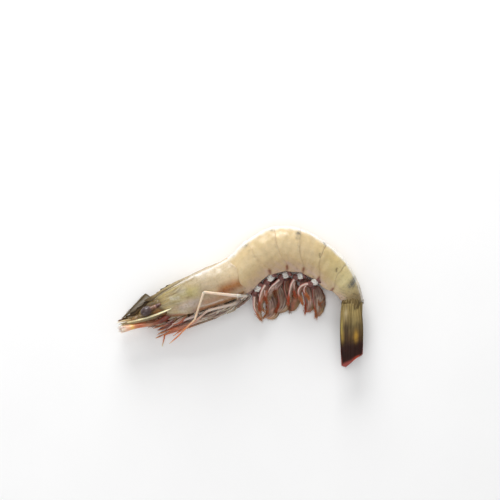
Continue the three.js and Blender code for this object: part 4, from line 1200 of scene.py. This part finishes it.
def swimmer_blade(piece, path, reach, rib, tilt, seed, hair_share, colours):
    """One blade: a thick ringed rib in front, a thin membrane behind it and bristles round the edge."""
    front, membrane, tip = colours
    steps = len(path)
    part = np.linspace(0, 1, steps)
    way = unit(np.gradient(path, axis=0))
    rear = unit(join(-way[:, 1], way[:, 0], 0))
    tilt = math.radians(tilt)
    across = rear * math.cos(tilt) - (0, 0, math.sin(tilt))
    across = unit(across - way * np.sum(across * way, -1, keepdims=True))
    normal = np.cross(way, across)
    normal = normal * np.sign(normal[:, 2:3] + 1e-9)
    width = reach * np.sin(np.pi * np.clip(0.1 + 0.86 * part, 0, 0.97)) ** 0.6
    p, u = sheet(steps, 15, left=0)
    grid = u * width[:, None]
    lift = -0.9 * u**2 * np.sin(np.pi * p) + 0.22 * u * np.sin(p * 23 + 3 * u + seed)
    rays = sum(hump(u + 0.05 * np.sin(5 * p + seed + k), 0.22 + 0.19 * k, 0.035) for k in range(4))
    veins = ripples(join(grid * 0.4, p * 14 + 4 * u), 2.6, seed, 11)
    paint = coats(
        mix(membrane, front, 0.25 * (1 - u) ** 2) * (1 + 0.16 * veins)[..., None],
        (ROSE, 0.4 * step(0.8, 1.8, veins)),
        (PURPLE_BROWN, 0.45 * step(0.2, 1.4, -veins)),
        (RAY_TINTS[seed // 20 % 3], 0.95 * rays * (0.6 + 0.4 * np.sin(p * 7 + 5 * u + seed))),
        (srgb(92, 40, 34), 0.6 * (1 - step(0.15, 0.5, p)) * step(0.15, 0.5, u)),
        (srgb(156, 134, 84), 0.55 * step(0.6, 0.85, p) * step(0.45, 0.8, u)),
        (PURPLE_BROWN, 0.4 * step(0.86, 1, u)),
        (tip, 0.45 * step(0.8, 1.0, p) * step(0.2, 1, veins + 1)))
    piece.blade(path, across, normal, grid, 0.14 + 0.32 * rays * (1 - 0.6 * p), lift, paint)
    size = rib * (1 - 0.75 * part) * (1 + 0.05 * np.sin(part * steps * 1.9)) + 0.05
    turn = circle(14)
    piece.rings(hoops(path, across, normal, size, size * 0.85, 14), coats(
        ramp(part[:, None], (0, front), (0.55, front), (0.82, tip), (1, tip)),
        (srgb(158, 54, 42), 0.85 * step(0.25, 0.85, -np.cos(turn))),
        (tip, 0.5 * np.clip(np.cos(turn), 0, 1) ** 2)))
    rng = np.random.default_rng(seed)
    count = int(hair_share * 110)
    k = (steps * (0.15 + 0.84 * rng.beta(1.6, 1.0, count))).astype(int).clip(0, steps - 1)
    roots = path[k] + across[k] * (width[k] * 0.98)[:, None] + normal[k] * lift[k, -1:]
    ways = across[k] * rng.uniform(0.1, 0.6, (count, 1)) + way[k] * rng.uniform(0.8, 1.4, (count, 1))
    lengths = rng.uniform(0.4, 1.3, count)
    piece.hairs(roots, ways, lengths, 0.05, (membrane + LEG_CREAM) / 2, srgb(198, 170, 134), 0.1)
    count = 120
    roots = path[rng.integers(steps - 16, steps, count)] + rng.normal(0, 0.4, (count, 3))
    ways = way[-1] + rng.normal(0, 0.24, (count, 3))
    piece.hairs(roots, ways, rng.uniform(0.9, 2.8, count), 0.09, tip, mix(tip, YELLOW, 0.25), 0.1)


def make_swimming_leg(pair, name, side):
    station, out, (stem_heading, *blade_headings) = SWIMMING_LEGS[name][pair]
    droop = SWIMMER_DROOP[name]
    stem = bearing(stem_heading, droop)
    root = hip(station, side * out, HIP_CLEARANCE["swimming"])
    knee = root + stem * SWIMMER_BASE[pair]
    piece = Piece(f"swimmer_{pair + 1}_{name}")
    add_swimmer_base(piece, root, knee, stem, pair)
    front, tilt = srgb(158, 122, 106), 12
    if name == "left":
        front, tilt = mix(srgb(242, 222, 208), ROSE, 0.3), 24
    wide = SWIMMER_MEMBRANES[name][pair]
    # length, turn in degrees, how far back the membrane reaches, rib, share of hairs, membrane, drop
    outer = (SWIMMER_OUTER[name][pair], 0, wide, 0.85, 1.0, MEMBRANE, 0)
    inner = (SWIMMER_INNER + 2, 14, wide * 0.7, 0.5, 0.6, mix(MEMBRANE, srgb(176, 84, 52), 0.45), 0.9)
    for length, turn, reach, rib, share, membrane, drop in (outer, inner):
        bends = [(way + turn, droop * 0.7) for way in blade_headings]
        path = chain(knee - stem * 1.2, [length / len(bends)] * len(bends), bends)
        path = settle(smooth_path(path, 52), 1.2) - (0, 0, drop)
        seed = 200 + 20 * pair + side + turn
        swimmer_blade(piece, path, reach, rib, tilt, seed, share, (front, membrane, SWIMMER_TIPS[pair]))
    piece.make(SWIMMER, "swimmer", f"swimming_leg_{pair + 1}_{name}")


def add_swimmer_base(piece, root, knee, stem, pair):
    """The stout base: a white patch over its hinge with the belly, then purple-brown to its blades."""
    part = np.linspace(-0.6, 1.12, 52)
    path = root + (knee - root) * part[:, None]
    rear = unit((-stem[1], stem[0], 0))
    size = 1.95 - 0.25 * part - 0.35 * hump(part, 0.46, 0.1) - 0.3 * hump(part, -0.22, 0.1)
    size = size * np.sqrt(np.clip(1 - ((part - 0.9) / 0.24).clip(0, 1) ** 2, 0.05, 1))
    rings = hoops(path, rear, unit(np.cross(stem, rear)), size, size * 0.68, 30)
    turn = circle(30)
    ragged = part[:, None] + 0.05 * np.sin(3 * turn + pair) + 0.03 * np.sin(7 * turn)
    hinge = step(-0.26, -0.18, ragged) * (1 - step(0.4, 0.48, ragged))
    piece.rings(rings, coats(
        PURPLE_BROWN,
        (srgb(134, 84, 76), 0.45 + 0.4 * ripples(rings, 1.8, 160 + pair)),
        (srgb(226, 224, 216), 0.95 * hinge * (0.85 + 0.25 * ripples(rings, 1.2, 180 + pair))),
        (DARK, 0.5 * hump(ragged, 0.46, 0.035) + 0.5 * hump(ragged, -0.24, 0.04))))


# ------------------------------------------------------------------ tail fan

# colour, strength, then the patch's middle and width across the blade, and the same along it
FAN_PATCHES = [
    (srgb(190, 170, 90), 0.7, (0.88, 0.08), (0.4, 0.13)),
    # Painted highlight: this lighter beige patch high on the blade.
    (srgb(176, 160, 124), 0.7, (0.55, 0.14), (0.16, 0.1)),
    (srgb(160, 142, 92), 0.5, (-0.2, 0.3), (0.24, 0.16)),
    (DARK, 0.75, (0.5, 0.14), (0.48, 0.17)),
    (srgb(178, 138, 56), 0.85, (-0.34, 0.2), (0.57, 0.1)),
    (srgb(156, 130, 62), 0.7, (0.82, 0.12), (0.56, 0.1)),
    (DEEP_OLIVE, 0.7, (0.08, 0.07), (0.45, 0.25)),
]


def fan_paint(p, u, seed):
    """Olive and brown streaks with yellow ribs, then nearly black, with a red margin; u runs to the belly."""
    coords = join(u * 14, p * 2.4)
    streak = ripples(coords, 2.6, seed, 11) + 0.6 * ripples(coords * (1, 3), 2.0, seed + 1, 11)
    colour = ramp(p, (0, srgb(148, 128, 82)), (0.16, srgb(144, 124, 78)), (0.38, srgb(98, 82, 52)),
                  (0.6, srgb(76, 54, 30)), (0.72, srgb(50, 30, 22)), (1, BLACK_PURPLE))
    colour = colour * (1 + 0.24 * streak)[..., None]
    for tint, amount, across, along in FAN_PATCHES:
        colour = mix(colour, tint, amount * hump(u, *across) * hump(p, *along))
    edge = np.maximum(step(0.9, 1.0, np.abs(u)) * step(0.8, 0.94, p), step(0.93, 0.99, p))
    return coats(
        colour,
        (DEEP_OLIVE, 0.8 * step(0.78, 0.95, -u) * (1 - step(0.55, 0.7, p))),
        (BLACK_PURPLE, 0.9 * step(0.62, 0.78, p + 0.04 * u + 0.02 * streak)),
        (srgb(152, 76, 70), 0.85 * edge),
        (srgb(196, 76, 50), 0.8 * step(0.9, 0.97, p) * hump(u, -0.5, 0.35)))


def make_tail_blade(name, side, layer):
    blade = TAIL_BLADES[layer]
    base = Frame(TAIL.place(np.array(blade["root"]) * (1, 1, side)), TAIL.turn((1, -0.01, 0.01 * side)),
                 TAIL.turn((0, -FAN_DROOP, side)))
    facing = np.sign(base.z[2])
    rows, columns = 110, 51
    p, u = sheet(rows, columns)
    half = blade["width"] / 2 * (0.82 + 0.18 * np.sin(np.pi * np.clip(0.05 + p, 0, 0.5)))
    corner = np.where(u > 0, 0.965, 0.9)
    close = 1 - ((p - corner) / (1.006 - corner)).clip(0, 1) ** 2.6
    half = half * (1 - 0.1 * step(0.5, 1, p)) * np.sqrt(close.clip(0, 1)) + 0.15
    reach = u * half
    ribs = (1.1 * hump(u, -0.15, 0.07) + 0.8 * hump(u, 0.2, 0.06) + 1.1 * step(0.84, 1.0, u)
            + 0.5 * hump(u, -0.62, 0.05))
    joint = (0.6 if layer == "outer" else 0) * hump(p, 0.64 + 0.05 * u, 0.012)
    thickness = 0.35 + 0.6 * ribs * (1 - 0.7 * p) - 0.3 * joint
    pleats = 0.05 * np.cos(u * 27 + 1.5 * np.sin(3 * p)) * step(0.1, 0.4, p) * (1 - 0.6 * step(0.6, 0.9, p))
    lift = 0.7 * (1 - u**2) * np.sin(np.pi * np.clip(p * 1.1, 0, 1)) + pleats + 0.2 * np.sin(4 * p + 2 * u)
    lift = lift - 0.8 * (1 - step(0, 0.14, p)) * side * facing
    spine = base.place(join(p * blade["length"] + TAIL_SLANT * (u * p**2 - 0.6 * p), 0, 0))
    normal = base.z * facing
    piece = Piece(f"tail_{layer}_blade_{name}")
    piece.blade(spine, base.y, normal, reach, thickness, lift,
                mix(fan_paint(p, u, 170 + side), DARK, 0.35 * joint))
    rng = np.random.default_rng(180 + side + len(layer))
    count = 520
    k = (rows * rng.uniform(0.55, 0.999, count) ** 0.6).astype(int).clip(0, rows - 1)
    edge = rng.integers(0, 2, count) * (columns - 1)
    roots = spine[k, edge] + base.y * reach[k, edge][:, None] + normal * lift[k, edge][:, None]
    away = np.where(edge > 0, 1, -1) * rng.uniform(0.1, 0.4, count)
    ways = base.turn(join(rng.uniform(0.8, 1.2, count), away, rng.uniform(-0.1, 0.1, count)))
    piece.hairs(roots, ways, rng.uniform(0.3, 0.7, count), 0.05, DARK_RED, srgb(150, 74, 54))
    piece.make(FAN, "tail", f"tail_{layer}_{name}")


def make_telson():
    """The pointed middle plate, with a groove down it and spines near the tip."""
    base = Frame(TAIL.place((0.1, 4.2, 0)), TAIL.turn((1, -0.02, 0)), TAIL.z)
    p, u = sheet(80, 31, first=-0.08)
    part = p.clip(0, 1)
    half = TELSON_WIDTH / 2 * (1 - part**1.6) * (0.8 + 0.2 * step(0, 0.2, p)) + 0.12
    arch = np.sqrt(1.02 - u**2)
    lift = 0.35 * arch - 0.5 * hump(u, 0, 0.14) * step(0.05, 0.3, part) * (1 - part)
    lift = lift * np.sign(np.dot(base.z, TAIL.y))
    spine = base.place(join(p[:, 0] * TELSON_LENGTH, 0, 0))
    piece = Piece("telson_plate")
    piece.blade(spine, base.y, base.z, u * half, 2.4 * (1 - 0.8 * part) * arch * 0.8 + 0.2, lift,
                fan_paint(part * 0.8, u * 0.6, 190))
    for along in (0.62, 0.74, 0.86):
        for side in (-1, 1):
            edge = TELSON_WIDTH / 2 * (1 - along**1.6) * side
            root = base.place((along * TELSON_LENGTH - 0.6, edge * 0.9, 0))
            add_spine(piece, root, root + base.turn((1.9, 0.5 * side, 0)), 0.28)
    piece.make(FAN, "tail", "telson")


def make_tail_stems():
    """The short stems that carry the two blades of each side, rough and brown, over the blades' roots."""
    piece = Piece("tail_stems")
    part, turn = np.meshgrid(np.linspace(0.02, 0.98, 40) * np.pi, circle(60), indexing="ij")
    ragged = 1 + 0.12 * np.cos(6 * turn) * step(0, 0.6, -np.cos(part))
    out = np.sin(part) ** 0.7
    knob = TAIL.turn(join(-3.6 * np.cos(part) * ragged, 5.1 * out * np.cos(turn), 1.5 * out * np.sin(turn)))
    lines = ripples(join(np.cos(turn) * 6, -np.cos(part) * 1.2), 2.0, 197, 11)
    paint = coats(
        srgb(118, 98, 60),
        (DEEP_OLIVE, 0.35 + 0.4 * lines),
        (srgb(170, 152, 110), 0.4 * step(0.4, 1.6, -lines)),
        (DARK, 0.5 * step(0.75, 1.0, np.abs(np.cos(turn)) * out)))
    for side in (1, -1):
        rings = TAIL.place((0.4, -1.1, 5.0 * side)) + knob
        piece.rings(rings + 0.14 * ripples(rings, 2.2, 195)[..., None] * TAIL.z, paint)
    piece.make(FAN, "tail")


# ------------------------------------------------------------------ the whole prawn


def make_prawn():
    """The head's own z axis points to the animal's right, so its left side has z_side -1."""
    make_flesh()
    make_carapace()
    make_rostrum()
    make_head_core()
    make_leg_fringe()
    make_telson()
    make_tail_stems()
    for i in range(len(RING_ENDS) - 1):
        make_abdomen_ring(i)
    for name, z_side, side in (("left", -1, 1), ("right", 1, -1)):
        for make_part in (make_eye, make_antennule, make_antenna, make_antennal_scale):
            make_part(name, z_side)
        make_jaw_leg(name, side)
        for pair in range(len(LEG_LENGTHS)):
            make_walking_leg(pair, name, side)
            make_swimming_leg(pair, name, side)
        for layer in TAIL_BLADES:
            make_tail_blade(name, side, layer)


# ------------------------------------------------------------------ studio

VIEW_TARGET = Vector((5.66, 24.87, 10)) * MM
VIEW_WIDTH = 0.275
VIEW_TILT = 3
LENS = 90
SENSOR = 36
LIGHT_TARGET = Vector((0, 0.01, 0.01))
# name, place and size in metres, power in watts
LIGHTS = [
    ("key", (-0.1, 0.8, 0.35), 0.5, 6.5),
    ("top", (0.0, 0.1, 1.1), 0.9, 2.8),
    ("side", (-0.5, -0.75, 0.5), 0.6, 1.6),
]


def aimed(name, data, place, target):
    """Puts a camera or a light at a place, turned to its target."""
    piece = bpy.data.objects.new(name, data)
    bpy.context.scene.collection.objects.link(piece)
    piece.location = place
    piece.rotation_euler = (target - place).to_track_quat("-Z", "Y").to_euler()
    return piece


def make_camera():
    camera = bpy.data.cameras.new("camera")
    camera.lens = LENS
    camera.sensor_width = SENSOR
    camera.clip_start = 0.01
    tilt = math.radians(VIEW_TILT)
    way = Vector((0, -math.sin(tilt), math.cos(tilt)))
    place = VIEW_TARGET + way * (VIEW_WIDTH * LENS / SENSOR)
    bpy.context.scene.camera = aimed("camera", camera, place, VIEW_TARGET)


def make_studio():
    bpy.ops.mesh.primitive_plane_add(size=6)
    floor = bpy.context.object
    floor.name = "floor"
    m = Material("pale_floor")
    tone = m.span(m.noise(40), 0.3, 0.7, 0.94, 0.955)
    grey = m.node("ShaderNodeCombineColor", {0: tone, 1: tone, 2: tone})
    m.fill(m.shader, {"Base Color": grey, "Roughness": 0.6})
    floor.data.materials.append(m.material)
    for name, place, size, power in LIGHTS:
        light = bpy.data.lights.new(name, "AREA")
        light.size = size
        light.energy = power
        aimed(name, light, Vector(place), LIGHT_TARGET)
    world = bpy.data.worlds.new("studio")
    world.use_nodes = True
    background = world.node_tree.nodes["Background"]
    background.inputs["Color"].default_value = (1, 1, 1, 1)
    background.inputs["Strength"].default_value = 0.5
    bpy.context.scene.world = world
    bpy.context.scene.view_settings.view_transform = "Standard"


make_camera()
make_studio()
make_prawn()
